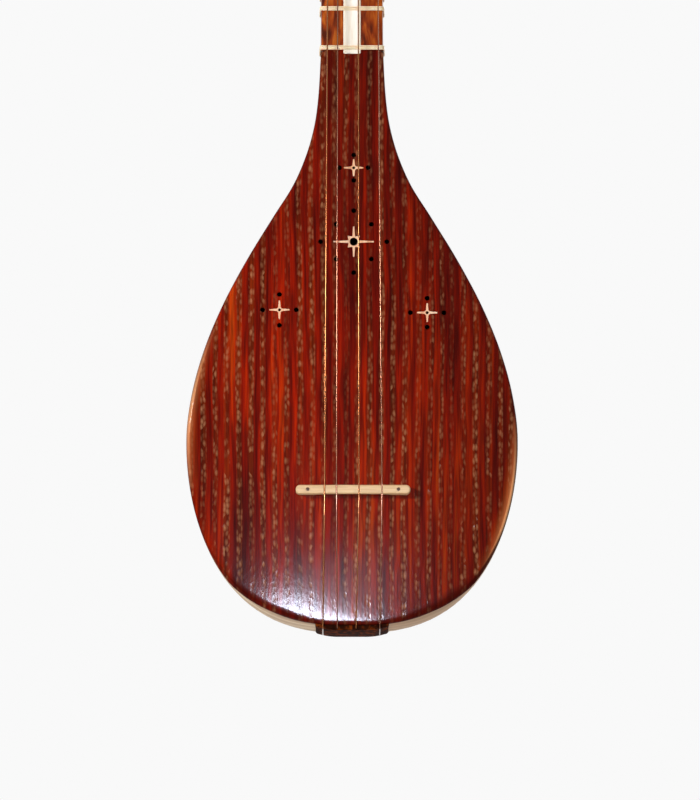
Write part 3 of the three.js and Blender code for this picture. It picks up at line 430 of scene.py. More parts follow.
    # Painted shade: the outermost edge is darkened, in a line that widens towards the tail and is weaker on
    # the bass side
    limit = add("MapRange", {"Value": axes["Z"], "from": (0.05, 0.018), "to": (0.0038, 0.008)})
    beyond = add("Math", {"operation": "SUBTRACT", 0: edgeRow, 1: limit})
    paintedEdgeShade = add("MapRange", {"Value": beyond, "from": (-0.0008, 0.0008), "to": (look["edgeShadeStrength"], 0)})
    paintedEdgeShade = add("Math", {"operation": "MULTIPLY", 0: paintedEdgeShade, 1: towardsBass(look["edgeShadeAtBass"])})
    colour = add("Mix", {"data_type": "RGBA", 0: paintedEdgeShade, 6: colour.outputs[2], 7: look["edgeShadeColour"]})
    gloss = (look["edgeRoughness"], look["roughness"])
    dull = add("MapRange", {"Value": edgeRow, "from": (0.003, 0.0045), "to": gloss})

    # Sunken pores, and the fine relief of the grain that breaks up the gloss
    depth = look["poreDepth"] / 1000
    sunken = add("Bump", {"Strength": 0.1, "Distance": depth, "invert": True, "Height": pores})
    texture = stretched(grain, look["textureWidth"], look["textureLength"], Detail=1.0)
    relief = {"Strength": 1.0, "Distance": look["textureDepth"] / 1000, "Height": texture}
    bump = add("Bump", {**relief, "Normal": sunken})
    setUp(shader, {"Base Color": colour.outputs[2], "Roughness": dull, "Normal": bump})
    return material


# Wood with long streaks: two or three tones that run along one direction, with fine darker fibres
def streakedWood(name, tones, fibreTone, streak, roughness, specular, source="Object", along="Z", fibre=0.35):
    material, add, shader = newMaterial(name, {"Roughness": roughness, "Specular IOR Level": specular})
    spot = add("TexCoord").outputs[source]

    def stretched(width, length):
        scale = [1000 / (length if axis == along else width) for axis in "XYZ"]
        return add("Mapping", {"Scale": scale, "Vector": spot})

    broad = {"Scale": 1.0, "Detail": 3.0, "Distortion": 0.5, "Vector": stretched(*streak)}
    base = add("ValToRGB", {"stops": tones, 0: add("TexNoise", broad)})
    fine = add("TexNoise", {"Scale": 1.0, "Detail": 2.0, "Vector": stretched(0.5, 9)})
    fineMask = add("MapRange", {"Value": fine, "from": (0.55, 0.75), "to": (0, fibre)})
    colour = add("Mix", {"data_type": "RGBA", 0: fineMask, 6: base, 7: fibreTone})
    bump = add("Bump", {"Strength": 0.1, "Distance": 0.0002, "invert": True, "Height": fineMask})
    setUp(shader, {"Base Color": colour.outputs[2], "Normal": bump})
    return material


boardMaterial = stainedMulberry("stainedMulberry", boardLook)
# Pale pinkish inlay that stands out from the red board
starMaterial = streakedWood(
    "paleInlayWood", [(0.35, "#e39a66"), (0.5, "#f2b888"), (0.65, "#f7cda6")], "#a8663c", (2, 12), 0.3, 0.25)
# Pale ribs under thin varnish, whose long streaks follow the bend of each rib
ribMaterial = streakedWood(
    "varnishedMulberry", [(0.32, "#b59579"), (0.5, "#d5b592"), (0.68, "#e8ceae")], "#876750",
    (5, 120), 0.4, 0.04, source="UV", along="Y")
# Warm brown wood with a soft shine along the rounded back of the neck
neckMaterial = streakedWood(
    "varnishedWalnut", [(0.3, "#54200c"), (0.5, "#8a4317"), (0.7, "#a9602a")], "#2f1207",
    (4, 110), 0.32, 0.35)
# Lively orange and dark flecks beside the white strip
panelMaterial = streakedWood(
    "figuredWalnut", [(0.33, "#521a04"), (0.48, "#96390a"), (0.62, "#ba5e1a")], "#3a1205", (3, 16), 0.3, 0.04)
# Creamy white with faint streaks
boneMaterial = streakedWood(
    "polishedBone", [(0.3, "#eadbc0"), (0.6, "#f4e9d6")], "#d8c4a0", (1.5, 20), 0.3, 0.2, fibre=0.3)
# Dry pale yellow wood with its grain along the bridge
bridgeMaterial = streakedWood(
    "bareBoxwood", [(0.3, "#d6ae7e"), (0.6, "#e8c493")], "#ac804f", (1.2, 14), 0.5, 0.3, along="X")
# Nearly black wood with a few rusty flecks
tailMaterial = streakedWood(
    "darkWalnut", [(0.36, "#1c0803"), (0.52, "#321205"), (0.62, "#702f08")], "#140501", (3, 5), 0.6, 0.008)
# Dark turned wood, a little shiny from handling
pegMaterial = streakedWood(
    "turnedWalnut", [(0.3, "#3c1608"), (0.5, "#5f2a11"), (0.7, "#7c3d1a")], "#250c04", (2, 30), 0.35, 0.35)
# Raw yellowish wood for the blocks and lining inside
blockMaterial = streakedWood(
    "bareSpruce", [(0.3, "#b4925f"), (0.6, "#cdb081")], "#8a6b3e", (1.5, 60), 0.7, 0.3)
seams = {
    "ribPitch": 60, "ribSpan": 20, "margin": 2, "plankStep": 35,
    "width": 0.4, "colour": "#4a2c14", "strength": 0.8,
    "tones": [
        "#ffffff", "#ececec", "#f8f8f8", "#e6e6e6", "#f4f4f4", "#fbfbfb",
        # The last tone, for the rib on the treble side, is darker as painted shade
        "#e9e9e9", "#f6f6f6", "#e4e4e4", "#f0f0f0", "#e2d6ca",
    ],
}


# Each rib comes from another place in the plank, so it has its own tone, and dark glue shows at its two
# edges. The darker tone of the last rib, on the treble side, is painted shade.
def toneRibs(material):
    tree = material.node_tree
    add = adderFor(tree)
    shader = tree.nodes["Principled BSDF"]
    wood = shader.inputs["Base Color"].links[0].from_socket
    across = add("SeparateXYZ", {0: add("TexCoord").outputs["UV"]}).outputs["X"]
    share = add("Math", {"operation": "DIVIDE", 0: across, 1: seams["ribPitch"] / 1000})
    count = len(seams["tones"])
    index = add("Math", {"operation": "DIVIDE", 0: share, 1: count})
    stops = [(i / count, tone) for i, tone in enumerate(seams["tones"])]
    tone = add("ValToRGB", {"stops": stops, 0: index})
    tone.color_ramp.interpolation = "CONSTANT"
    toned = add("Mix", {"data_type": "RGBA", "blend_type": "MULTIPLY", 0: 1.0, 6: wood, 7: tone})
    place = add("Math", {"operation": "FRACT", 0: share})
    middle = (seams["margin"] + seams["ribSpan"] / 2) / seams["ribPitch"]
    offset = add("Math", {"operation": "SUBTRACT", 0: place, 1: middle})
    reach = add("Math", {"operation": "ABSOLUTE", 0: offset})
    start = (seams["ribSpan"] / 2 - seams["width"]) / seams["ribPitch"]
    glue = add("MapRange", {"Value": reach, "from": (start, start + 0.002), "to": (0, seams["strength"])})
    joined = add("Mix", {"data_type": "RGBA", 0: glue, 6: toned.outputs[2], 7: seams["colour"]})
    setUp(shader, {"Base Color": joined.outputs[2]})


toneRibs(ribMaterial)


# Drawn wire: fine lines along it, coarser than real ones, catch the light
def drawnWire(name, low, high, roughness=0.14):
    material, add, shader = newMaterial(name, {"Metallic": 1.0, "Roughness": roughness})
    spot = add("TexCoord").outputs["UV"]
    lines = add("Mapping", {"Scale": (9000, 60, 1), "Vector": spot})
    noise = add("TexNoise", {"Scale": 1.0, "Detail": 2.0, "Vector": lines})
    tones = add("Mix", {"data_type": "RGBA", 0: noise, 6: low, 7: high})
    setUp(shader, {"Base Color": tones.outputs[2]})
    return material


# The red board's reflection is painted into both colours: the steel looks pinkish and the bronze golden
steelMaterial = drawnWire("drawnSteelWire", "#6a4535", "#8a5f4c")
bronzeMaterial = drawnWire("drawnBronzeWire", "#744426", "#97613b")

# Twisted gut: slanting lines from the twist, coarser than real ones, waxy and a little see-through
gutMaterial, add, shader = newMaterial("twistedGut", {
    "Roughness": 0.38, "Specular IOR Level": 0.4, "Subsurface Weight": 0.1, "Subsurface Scale": 0.001,
})
spot = add("TexCoord").outputs["UV"]
twist = add("Mapping", {"Rotation": (0, 0, math.radians(35)), "Scale": (2600, 500, 1), "Vector": spot})
noise = add("TexNoise", {"Scale": 1.0, "Detail": 2.0, "Vector": twist})
tones = add("ValToRGB", {"stops": [(0.3, "#f8d29c"), (0.5, "#ffe6c0"), (0.7, "#fff4dc")], 0: noise})
bump = add("Bump", {"Strength": 0.3, "Distance": 0.0001, "Height": noise})
setUp(shader, {"Base Color": tones, "Normal": bump})
print("setar: materials made")


# Bowl: eleven bent ribs on one skin, measured along and round the axis where all seams meet
bowl = {
    "base": 1.8, "length": 283.5, "halfWidth": 81, "depth": 130, "rimOffset": 17,
    "ribThickness": 3, "ribCount": 11, "fullness": 1.98, "bluntness": 0.36, "frontBulge": 1.2,
    "widest": 0.322, "deepest": 0.36, "startShare": 0.0004,
    "widthPlaces": [0.322, 0.4, 0.478, 0.556, 0.634, 0.712, 0.7645, 0.8163, 0.8685, 0.9203, 1],
    "widths": [1, 0.969, 0.895, 0.783, 0.639, 0.473, 0.358, 0.28, 0.23, 0.206, 0.19],
    "depthPlaces": [0.36, 0.44, 0.52, 0.6, 0.7, 0.8, 0.9, 1],
    "depths": [1, 0.975, 0.9, 0.78, 0.59, 0.415, 0.29, 0.235],
    "seam": 0.22, "columns": 5, "lowRows": 26, "highRows": 44,
}
widestPlace = bowl["length"] * bowl["widest"]
deepestPlace = bowl["length"] * bowl["deepest"]
keelDepth = bowl["depth"] - bowl["rimOffset"]


# A smooth curve through the table's values, level at the first
def alongTable(places, values, place):
    i = 0
    while i < len(places) - 2 and place > places[i + 1]:
        i += 1

    def slope(j):
        after = min(j + 1, len(places) - 1)
        return 0 if j == 0 else (values[after] - values[j - 1]) / (places[after] - places[j - 1])

    span = places[i + 1] - places[i]
    t = (place - places[i]) / span
    rise = values[i] * (2 * t ** 3 - 3 * t ** 2 + 1) + values[i + 1] * (3 * t ** 2 - 2 * t ** 3)
    return rise + span * (slope(i) * (t ** 3 - 2 * t ** 2 + t) + slope(i + 1) * (t ** 3 - t ** 2))


# The round end of the bowl, from 0 at the tail to 1 at the widest place
def swell(share):
    return (1 - (1 - min(share, 1)) ** bowl["fullness"]) ** bowl["bluntness"]


# How far the skin stands from the axis to the side, to the back and to the front
def sideSpan(place, inset=0):
    if place < widestPlace:
        return (bowl["halfWidth"] - inset) * swell(place / widestPlace)
    return bowl["halfWidth"] * alongTable(bowl["widthPlaces"], bowl["widths"], place / bowl["length"]) - inset


def backSpan(place, inset=0):
    if place < deepestPlace:
        return (keelDepth - inset) * swell(place / deepestPlace)
    depth = bowl["depth"] * alongTable(bowl["depthPlaces"], bowl["depths"], place / bowl["length"])
    return depth - bowl["rimOffset"] - inset


def frontSpan(place, inset=0):
    return bowl["frontBulge"] * (bowl["halfWidth"] - inset) * swell(place / widestPlace)


def skinPoint(place, turn, inset=0):
    depth = backSpan(place, inset) if math.cos(turn) > 0 else frontSpan(place, inset)
    lift = inset * (1 - min(place / widestPlace, 1))
    x = sideSpan(place, inset) * math.sin(turn)
    return Vector((x, depth * math.cos(turn), bowl["base"] + place + lift))


# The turn round the axis at which the skin reaches the rim
def rimTurn(place, inset=0):
    front = frontSpan(place, inset)
    return math.pi if front <= bowl["rimOffset"] else math.acos(-bowl["rimOffset"] / front)


def rimHalfWidth(place):
    return sideSpan(place) * math.sin(rimTurn(place))


# Rows close together at the tail, where the skin bends most
def bowlPlaces(start, end):
    lowRows, highRows = bowl["lowRows"], bowl["highRows"]
    low = [start + (widestPlace - start) * (i / lowRows) ** 2 for i in range(lowRows)]
    return low + [widestPlace + (end - widestPlace) * i / highRows for i in range(highRows + 1)]


# The turn of a rib's edge, half a seam's width beside the seam
def besideSeam(seam, side, place, inset):
    if seam in (0, bowl["ribCount"]):
        turn = rimTurn(place, inset) * (1 if seam else -1)
        if abs(turn) < math.pi:
            return turn
    else:
        turn = (seam - bowl["ribCount"] / 2) * math.pi / bowl["ribCount"]
    depth = backSpan(place, inset) if math.cos(turn) > 0 else frontSpan(place, inset)
    pace = math.hypot(sideSpan(place, inset) * math.cos(turn), depth * math.sin(turn))
    return turn + side * bowl["seam"] / 2 / pace


ribPlaces = bowlPlaces(widestPlace * bowl["startShare"], bowl["length"] - clearance)
for rib in range(bowl["ribCount"]):
    across = bowl["columns"]

    def ribPoint(i, j):
        place = ribPlaces[j]
        inset = 0 if i <= across else bowl["ribThickness"]
        share = (i if i <= across else 2 * across + 1 - i) / across
        low = besideSeam(rib, 1, place, inset)
        high = besideSeam(rib + 1, -1, place, inset)
        return skinPoint(place, low + (high - low) * share, inset)

    def ribPattern(i, j):
        x = seams["ribPitch"] * rib + seams["margin"] + seams["ribSpan"] * i / across
        return x, ribPlaces[j] + seams["plankStep"] * rib

    bm = shapedGrid(2 * across + 2, len(ribPlaces) - 1, ribPoint, ribPattern)
    finishPiece(f"bowl_rib_visual_{rib + 1}", bm, ribMaterial, "root", [f"bowl_rib_{rib + 1}"])
print("setar: bowl ribs made")


# Soundboard: a domed plate with a rounded edge and pierced clusters of holes round four inlaid stars
board = {
    "gap": 0.3, "thickness": 3, "crown": 2, "edgeRadius": 1.9, "jointRadius": 0.15, "edgeSteps": 6,
    "around": 220, "rings": 24, "axis": (45, 268), "holeRadius": 1.2, "recess": 1.35, "recessGap": 0.06,
    "overhangShare": 0.9, "overhangBelow": 1.7, "overhangFrom": 8, "overhangFull": 24, "overhangFade": 60,
    "jointFade": 12, "tailHalf": 8, "tailFade": 24, "tailFullness": 0.25,
}
stars = {
    "top": {"place": (0.01, 0.795), "reach": 7, "shares": (0.89, 0.67, 0.6), "eye": 0.75},
    "middle": {
        "place": (0.01, 0.666), "reach": 16.2, "shares": (0.945, 0.605, 0.46), "eye": 2, "large": True,
    },
    "bass": {"place": (-0.438, 0.5474), "reach": 8.2, "shares": (0.93, 0.6, 0.56), "eye": 0.75},
    "treble": {"place": (0.453, 0.5425), "reach": 8.2, "shares": (0.87, 0.6, 0.56), "eye": 0.75},
}
starShape = {"depth": 1.2, "halfWidth": 0.62, "ring": 0.6, "pointReach": 1.5, "diagonalShare": 0.75}
tailpiece = {
    "halfWidth": 18, "flat": 14, "rise": 1.3, "corner": 2,
    "back": 14, "height": 12, "rounding": 0.5, "gap": 0.2,
}
faceLevel = bowl["rimOffset"] + board["gap"] + board["thickness"]


def boardFace(x, z):
    half = rimHalfWidth(z - bowl["base"])
    return faceLevel + max(board["crown"] * (half * half - x * x) / bowl["halfWidth"] ** 2, 0)


# The board starts where the bowl's front first comes up to the rim
low, high = 0.0, widestPlace
for halving in range(24):
    middle = (low + high) / 2
    low, high = (low, middle) if frontSpan(middle) > bowl["rimOffset"] else (middle, high)
boardTail = high + board["gap"]


# The board's outline from the tail up the treble side, across the neck joint and down the bass side
def boardOutline():
    steps = 600
    side = []
    for i in range(steps + 1):
        place = boardTail + (bowl["length"] - boardTail) * (i / steps) ** 2
        side.append(Vector((rimHalfWidth(place), bowl["base"] + place)))
    side[0].x = 0
    whole = side + [Vector((-p.x, p.y)) for p in reversed(side[1:])]
    length = [0.0]
    for a, b in zip(whole, whole[1:] + whole[:1]):
        length.append(length[-1] + (b - a).length)
    points = []
    j = 0
    for i in range(board["around"]):
        goal = length[-1] * i / board["around"]
        while length[j + 1] < goal:
            j += 1
        share = (goal - length[j]) / (length[j + 1] - length[j])
        points.append(whole[j].lerp(whole[(j + 1) % len(whole)], share))
    return points


outline = boardOutline()
inward = []
for i, point in enumerate(outline):
    way = outline[(i + 1) % len(outline)] - outline[i - 1]
    inward.append(Vector((-way.y, way.x)).normalized())


# The board's edge stands proud of the rim and hides the bowl's bulge from the front, except at the tail
def overhang(i):
    point = outline[i]
    place = point.y - bowl["base"]
    bulge = max(sideSpan(place) - abs(point.x), 0) * abs(inward[i].x)
    bulge += board["overhangBelow"] * max(inward[i].y, 0)
    low = (point.y - board["overhangFrom"]) / (board["overhangFull"] - board["overhangFrom"])
    high = (bowl["length"] - place) / board["overhangFade"]
    return board["overhangShare"] * bulge * min(max(low, 0), max(high, 0), 1)


# Row 0 is the underside's edge, the next rows go round the edge, and the rings close in on a middle line
def boardPoint(i, j):
    point = outline[i] - inward[i] * overhang(i)
    top = bowl["base"] + bowl["length"]
    fullness = min(max((top - point.y) / board["jointFade"], 0), 1)
    if point.y < tailpiece["height"] + bowl["base"]:
        fullness = min(max((abs(point.x) - board["tailHalf"]) / board["tailFade"], board["tailFullness"]), 1)
    radius = board["jointRadius"] + (board["edgeRadius"] - board["jointRadius"]) * fullness
    steps, rings = board["edgeSteps"], board["rings"]
    if j == 0:
        return Vector((point.x, -faceLevel + board["thickness"], point.y))
    turn = min((j - 1) / steps, 1) * math.pi / 2
    rounded = point + inward[i] * radius * (1 - math.cos(turn))
    share = max(j - 1 - steps, 0) / rings
    low, high = board["axis"]
    onAxis = Vector((0, low + (high - low) * (point.y - outline[0].y) / (top - outline[0].y)))
    flat = rounded.lerp(onAxis, share)
    face = boardFace(flat.x, min(max(flat.y, bowl["base"] + boardTail), top))
    return Vector((flat.x, -face + radius * (1 - math.sin(turn)), flat.y))


# Four long arms, and four short points between them on the large star
def starOutline(star, growth):
    arms = [star["reach"] * star["shares"][1], star["reach"] * star["shares"][2]]
    waist = star["eye"] + starShape["ring"] + growth
    half = starShape["halfWidth"] + growth
    foot = math.sqrt(max(waist ** 2 - half ** 2, half ** 2))
    points = []
    for quarter in range(4):
        turn = quarter * math.pi / 2
        ahead, aside = Vector((math.cos(turn), math.sin(turn))), Vector((-math.sin(turn), math.cos(turn)))
        tip = arms[quarter % 2] + growth
        corners = ((foot, -half), (tip, -half / 2), (tip, half / 2), (foot, half))
        points += [ahead * out + aside * off for out, off in corners]
        if star.get("large"):
            points.append((ahead + aside).normalized() * (waist + starShape["pointReach"]))
    x = bowl["halfWidth"] * star["place"][0]
    z = bowl["base"] + bowl["length"] * star["place"][1]
    return [(x + p.x, z + p.y) for p in points], x, z


# A cutter that stands 6 mm out of the board's face and 3 mm out of its back
def throughBar(x, z, radius):
    return roundBar((x, -faceLevel - 6, z), (x, -faceLevel + board["thickness"] + 3, z), radius, radius)


holes, eyes, recesses = [], [], []
for name, star in stars.items():
    shape, x, z = starOutline(star, board["recessGap"])
    face = boardFace(x, z)
    recesses.append(slabAlongY(shape, -face - 4, -face + board["recess"]))
    eyes.append(throughBar(x, z, star["eye"]))
    diagonal = star["reach"] * starShape["diagonalShare"]
    for quarter in range(4):
        turn = quarter * math.pi / 2
        spots = [(turn, star["reach"], star["reach"] * star["shares"][0])]
        if star.get("large"):
            spots.append((turn + math.pi / 4, diagonal, diagonal))
        for t, across, along in spots:
            holes.append(throughBar(x + across * math.cos(t), z + along * math.sin(t), board["holeRadius"]))
    visual = slabAlongY(starOutline(star, 0)[0], -face, -face + starShape["depth"])
    lean = math.atan(2 * board["crown"] * x / bowl["halfWidth"] ** 2)
    bmesh.ops.rotate(visual, verts=visual.verts, cent=(x, -face, z), matrix=Matrix.Rotation(lean, 3, "Z"))
    visual = carved(visual, [throughBar(x, z, star["eye"])])
    finishPiece(f"star_visual_{name}", visual, starMaterial, "root", [f"star_inlay_{name}"])

# The bone strip's rounded end is let into the board
neckJoint = bowl["base"] + bowl["length"]
strip = {"width": 8.5, "overlap": 1.7, "edge": 0.15, "gap": 0.08}


def stripOutline(growth, top):
    half = strip["width"] / 2 + growth
    end = neckJoint - strip["overlap"] - growth
    corner = strip["overlap"] / 2
    x, z = half - corner, end + corner
    arc = [(x + corner * math.sin(t), z - corner * math.cos(t)) for t in quarterTurn(6)]
    return [(-x, z) for x, z in reversed(arc)] + arc + [(half, top), (-half, top)]


bm = shapedGrid(board["around"], 1 + board["edgeSteps"] + board["rings"], boardPoint, lambda i, j: (i, j))
stripEnding = slabAlongY(stripOutline(strip["gap"], neckJoint + 6), -faceLevel - 5, 0)
bm = carved(bm, [merged(holes), merged(recesses), merged(eyes), stripEnding])
finishPiece("soundboard_visual", bm, boardMaterial, "root", ["soundboard"])
print("setar: soundboard and stars made")


# Neck and head in one length of walnut
scale = {"speakingLength": 656, "bridgePlace": 68}
nutPlace = scale["bridgePlace"] + scale["speakingLength"]
neck = {
    "nutHalfWidth": 13.1, "backAtNut": 6, "centreAtNut": 6, "headLength": 120, "headHalfWidth": 12.2,
    "headBackAtTop": 3.5, "headCorner": 6, "headTurn": 14, "topRounding": 12, "topShare": 0.6,
    "taperShare": 0.25, "edge": 0.25, "nutThickness": 4, "nutRounding": 1.3, "backSteps": 23,
}
headStart = nutPlace + neck["nutThickness"] / 2 + clearance
headTop = headStart + neck["headLength"]


# Half width, depth of the back, and the level where the back's curve starts
def neckForm(z):
    share = (z - neckJoint) / (nutPlace - neckJoint)
    half = sideSpan(bowl["length"]) * (1 - share) + neck["nutHalfWidth"] * share
    rear = backSpan(bowl["length"]) * (1 - share) + neck["backAtNut"] * share
    return half, rear, -neck["centreAtNut"] * share


def neckSide(z, level):
    half, rear, centre = neckForm(z)
    lean = (level + centre) / (bowl["frontBulge"] * bowl["halfWidth"])
    return half * math.sqrt(1 - lean * lean)


def neckRing(z):
    half, rear, centre = neckForm(min(z, headStart))
    front = -bowl["rimOffset"]
    face = neckSide(min(z, headStart), bowl["rimOffset"])
    corner, squeeze = neck["edge"], 1
    if z > headStart:
        share = (z - headStart) / neck["headLength"]
        turning = min((z - headStart) / neck["headTurn"], 1)
        half += (neck["headHalfWidth"] - half) * min(share / neck["taperShare"], 1)
        rear += (neck["headBackAtTop"] - rear) * share
        corner += (neck["headCorner"] - corner) * turning
        centre += (front + corner - centre) * turning
        face += (half - face) * turning
        toTop = min((headTop - z) / neck["topRounding"], 1)
        squeeze = math.sqrt(max(1 - (1 - toTop) ** 2 * (1 - neck["topShare"] ** 2), 0))
    points = []
    for t in quarterTurn(4):
        points.append((face - corner + corner * math.sin(t), front + corner - corner * math.cos(t)))
    for t in quarterTurn(neck["backSteps"]):
        points.append((half * math.cos(t), centre + (rear - centre) * math.sin(t)))
    middle = (front + rear) / 2
    ring = points[:-1] + [(0.0, points[-1][1])] + [(-x, y) for x, y in reversed(points[:-1])]
    return [Vector((x * squeeze, middle + (y - middle) * squeeze, z)) for x, y in ring]


neckRows = [neckJoint + (headStart - neckJoint) * i / 40 for i in range(41)]
neckRows += [headStart + (headTop - neck["topRounding"] - headStart) * i / 24 for i in range(1, 25)]
neckRows += [headTop - neck["topRounding"] * (1 - math.sin(t)) for t in quarterTurn(8, 1)]
neckRings = [neckRing(z) for z in neckRows]

# Pegs: turned shafts with a collar, and flared flat heads. Two stand out of the face, two out of the side.
peg = {
    "radius": 3.6, "tipRadius": 3, "passThrough": 2, "collarRadius": 4.6, "collarLength": 2.5,
    "handle": [
        (4, 0), (4.3, 3), (6, 6.2), (9.6, 8.6), (12.6, 10.2), (14, 12.2),
        (13.5, 14.6), (11.2, 16.8), (7, 18.3), (3, 18.9), (0, 19),
    ],
    "handleThickness": 7, "handleBevel": 1.6, "boreBeyond": 4,
    "places": [0.7, 0.35, 0.533, 0.19], "sideBelowFace": 4.5, "holeRadius": 0.6,
}
# The pegs' room follows the solids, which have windingTurns. The wire itself lies in closer turns, and is
# thicker than real wire, because the photograph shows it two or three pixels wide.
strings = {
    "names": ["treble", "second", "third", "bass"], "diameters": [0.6, 0.6, 0.6, 0.8],
    "wireDiameters": [0.58, 0.58, 0.58, 0.72], "wireGap": 0.1, "shownTurns": 6,
    "windingTurns": 4, "windingGap": 0.5, "windingStart": 1.6, "loopSteps": 40,
    "nutShares": [0.725, 0.19, -0.458, -0.725], "bridgeShares": [0.523, 0.122, -0.272, -0.48],
    "tailShares": [0.75, 0.11, -0.4, -0.79], "tailLift": 0.55, "tailBend": 1.5, "tailHook": 8,
    "tailWidth": 36, "nutLevel": 22.9,
}


# How far out of the head the string's hole lies in the peg, one pitch past the last loop
def holeReach(diameter):
    return strings["windingStart"] + (strings["windingTurns"] + 1) * (diameter + strings["windingGap"])


windingRoom = holeReach(max(strings["diameters"])) + 2 * peg["holeRadius"]


class Peg:
    def __init__(self, index):
        self.name = strings["names"][index]
        self.diameter = strings["diameters"][index]
        self.wire = strings["wireDiameters"][index]
        share = peg["places"][index]
        self.fromFront = index < 2
        self.out = Vector((0, -1, 0)) if self.fromFront else Vector((-1, 0, 0))
        self.surface = bowl["rimOffset"] if self.fromFront else neck["headHalfWidth"]
        thin = neck["backAtNut"] + (neck["headBackAtTop"] - neck["backAtNut"]) * share
        self.through = thin if self.fromFront else neck["headHalfWidth"]
        depth = 0 if self.fromFront else -bowl["rimOffset"] + peg["sideBelowFace"]
        self.foot = Vector((0, depth, headStart + neck["headLength"] * share))

    def at(self, reach):
        return self.foot + self.out * reach

    def winding(self):
        radius = peg["radius"] + strings["wireGap"] + self.wire / 2
        pitch = strings["windingTurns"] * (self.diameter + strings["windingGap"]) / strings["shownTurns"]
        away = Vector((1, 0, 0)) if self.fromFront else Vector((0, -1, 0))
        points = []
        for step in range(strings["shownTurns"] * strings["loopSteps"] + 1):
            turn = 2 * math.pi * step / strings["loopSteps"]
            centre = self.at(self.surface + strings["windingStart"] + pitch * step / strings["loopSteps"])
            points.append(centre + away * radius * math.cos(turn) + Vector((0, 0, radius * math.sin(turn))))
        return points


pegs = [Peg(i) for i in range(4)]
bm = shapedGrid(len(neckRings[0]), len(neckRings) - 1, lambda i, j: neckRings[j][i])
for p in pegs:
    ends = p.at(p.surface + peg["boreBeyond"]), p.at(-p.through - peg["boreBeyond"])
    bm = carved(bm, [roundBar(*ends, peg["radius"] + clearance, peg["tipRadius"] + clearance, 32)])
finishPiece("neck_visual", bm, neckMaterial, "root", ["neck"])
print("setar: neck made")


def makePeg(p):
    tip = -p.through - peg["passThrough"]
    collar = p.surface + windingRoom
    top = collar + peg["collarLength"]
    radius, tipRadius, collarRadius = peg["radius"], peg["tipRadius"], peg["collarRadius"]
    profile = [
        (0, tip), (tipRadius * 0.6, tip), (tipRadius * 0.9, tip + 0.4), (tipRadius, tip + 1.2),
        (radius, p.surface), (radius, collar - 0.4), (radius + 0.4, collar),
        (collarRadius, collar + 0.6), (collarRadius, top - 0.8), (radius + 0.3, top - 0.2),
        (radius, top + 3), (0, top + 3),
    ]
    shaft = bmesh.new()
    verts = [shaft.verts.new((r, 0, h)) for r, h in profile]
    edges = [shaft.edges.new(pair) for pair in zip(verts, verts[1:])]
    bmesh.ops.spin(
        shaft, geom=verts + edges, cent=(0, 0, 0), axis=(0, 0, 1),
        angle=2 * math.pi, steps=32, use_merge=True,
    )
    bmesh.ops.remove_doubles(shaft, verts=shaft.verts, dist=tiny)
    bmesh.ops.recalc_face_normals(shaft, faces=shaft.faces)
    half = [(x, top + h) for x, h in peg["handle"]]
    thick = peg["handleThickness"] / 2
    handle = slabAlongY(half + [(-x, h) for x, h in reversed(half[:-1])], -thick, thick)
    rims = [e for e in handle.edges if abs(e.verts[0].co.y - e.verts[1].co.y) < tiny]
    roundEdges(handle, rims, peg["handleBevel"], 4)
    reach = p.surface + holeReach(p.diameter)
    whole = carved(shaft, [handle], "UNION")
    whole = carved(whole, [roundBar((0, -8, reach), (0, 8, reach), peg["holeRadius"], peg["holeRadius"], 16)])
    turn = Vector((0, 0, 1)).rotation_difference(p.out).to_matrix()
    bmesh.ops.rotate(whole, verts=whole.verts, cent=(0, 0, 0), matrix=turn)
    bmesh.ops.translate(whole, verts=whole.verts, vec=p.foot)
    finishPiece(f"peg_visual_{p.name}", whole, pegMaterial, f"{p.name}_peg", [f"peg_{p.name}"])


for p in pegs:
    makePeg(p)
print("setar: pegs made")


# Fingerboard: a bone strip between two strips of figured walnut
fingerboard = {"thickness": 3, "edge": 0.8, "innerEdge": 0.12, "endGap": 0.15, "rows": 30}
stripBase = bowl["rimOffset"] + clearance
boardTop = stripBase + fingerboard["thickness"]
stripEnd = nutPlace - neck["nutThickness"] / 2 - clearance


def panelRing(side, z):
    inner = strip["width"] / 2 + strip["gap"]
    base, face = neckSide(z, stripBase), neckSide(z, boardTop)
    edge, innerEdge = fingerboard["edge"], fingerboard["innerEdge"]
    points = [(inner, stripBase), (base, stripBase), (face, boardTop - edge)]
    for t in quarterTurn(4, 1):
        points.append((face - edge * (1 - math.cos(t)), boardTop - edge * (1 - math.sin(t))))
    points += [(inner + innerEdge, boardTop), (inner, boardTop - innerEdge)]
    return [Vector((side * x, -level, z)) for x, level in points]


panelStart, count = neckJoint + fingerboard["endGap"], fingerboard["rows"]
panelRows = [panelStart + (stripEnd - panelStart) * i / count for i in range(count + 1)]
for side, name in ((1, "treble"), (-1, "bass")):
    rings = [panelRing(side, z) for z in panelRows]
    bm = shapedGrid(len(rings[0]), fingerboard["rows"], lambda i, j: rings[j][i])
    panel = f"fingerboard_visual_{name}"
    finishPiece(panel, bm, panelMaterial, "root", [f"fingerboard_{name}"])

bm = slabAlongY(stripOutline(0, stripEnd), -boardTop, -stripBase)
roundEdges(bm, rimAt(bm, -boardTop), strip["edge"], 2)
finishPiece("bone_strip_visual", bm, boneMaterial, "root", ["fingerboard_bone_strip"])
print("setar: fingerboard made")


# Strings over tail, bridge and nut to their pegs
bridge = {
    "length": 55.8, "thickness": 4.3, "height": 6, "foot": 9, "arch": 3.4, "offset": 0.5,
    "footRelief": 0.15, "archFullness": 0.35, "eyeRadius": 0.9, "eyeDepth": 4.2, "eyeInset": 5.8,
    "rounding": 0.7,
}
bridgeLevel = boardFace(0, scale["bridgePlace"]) + clearance + bridge["height"]


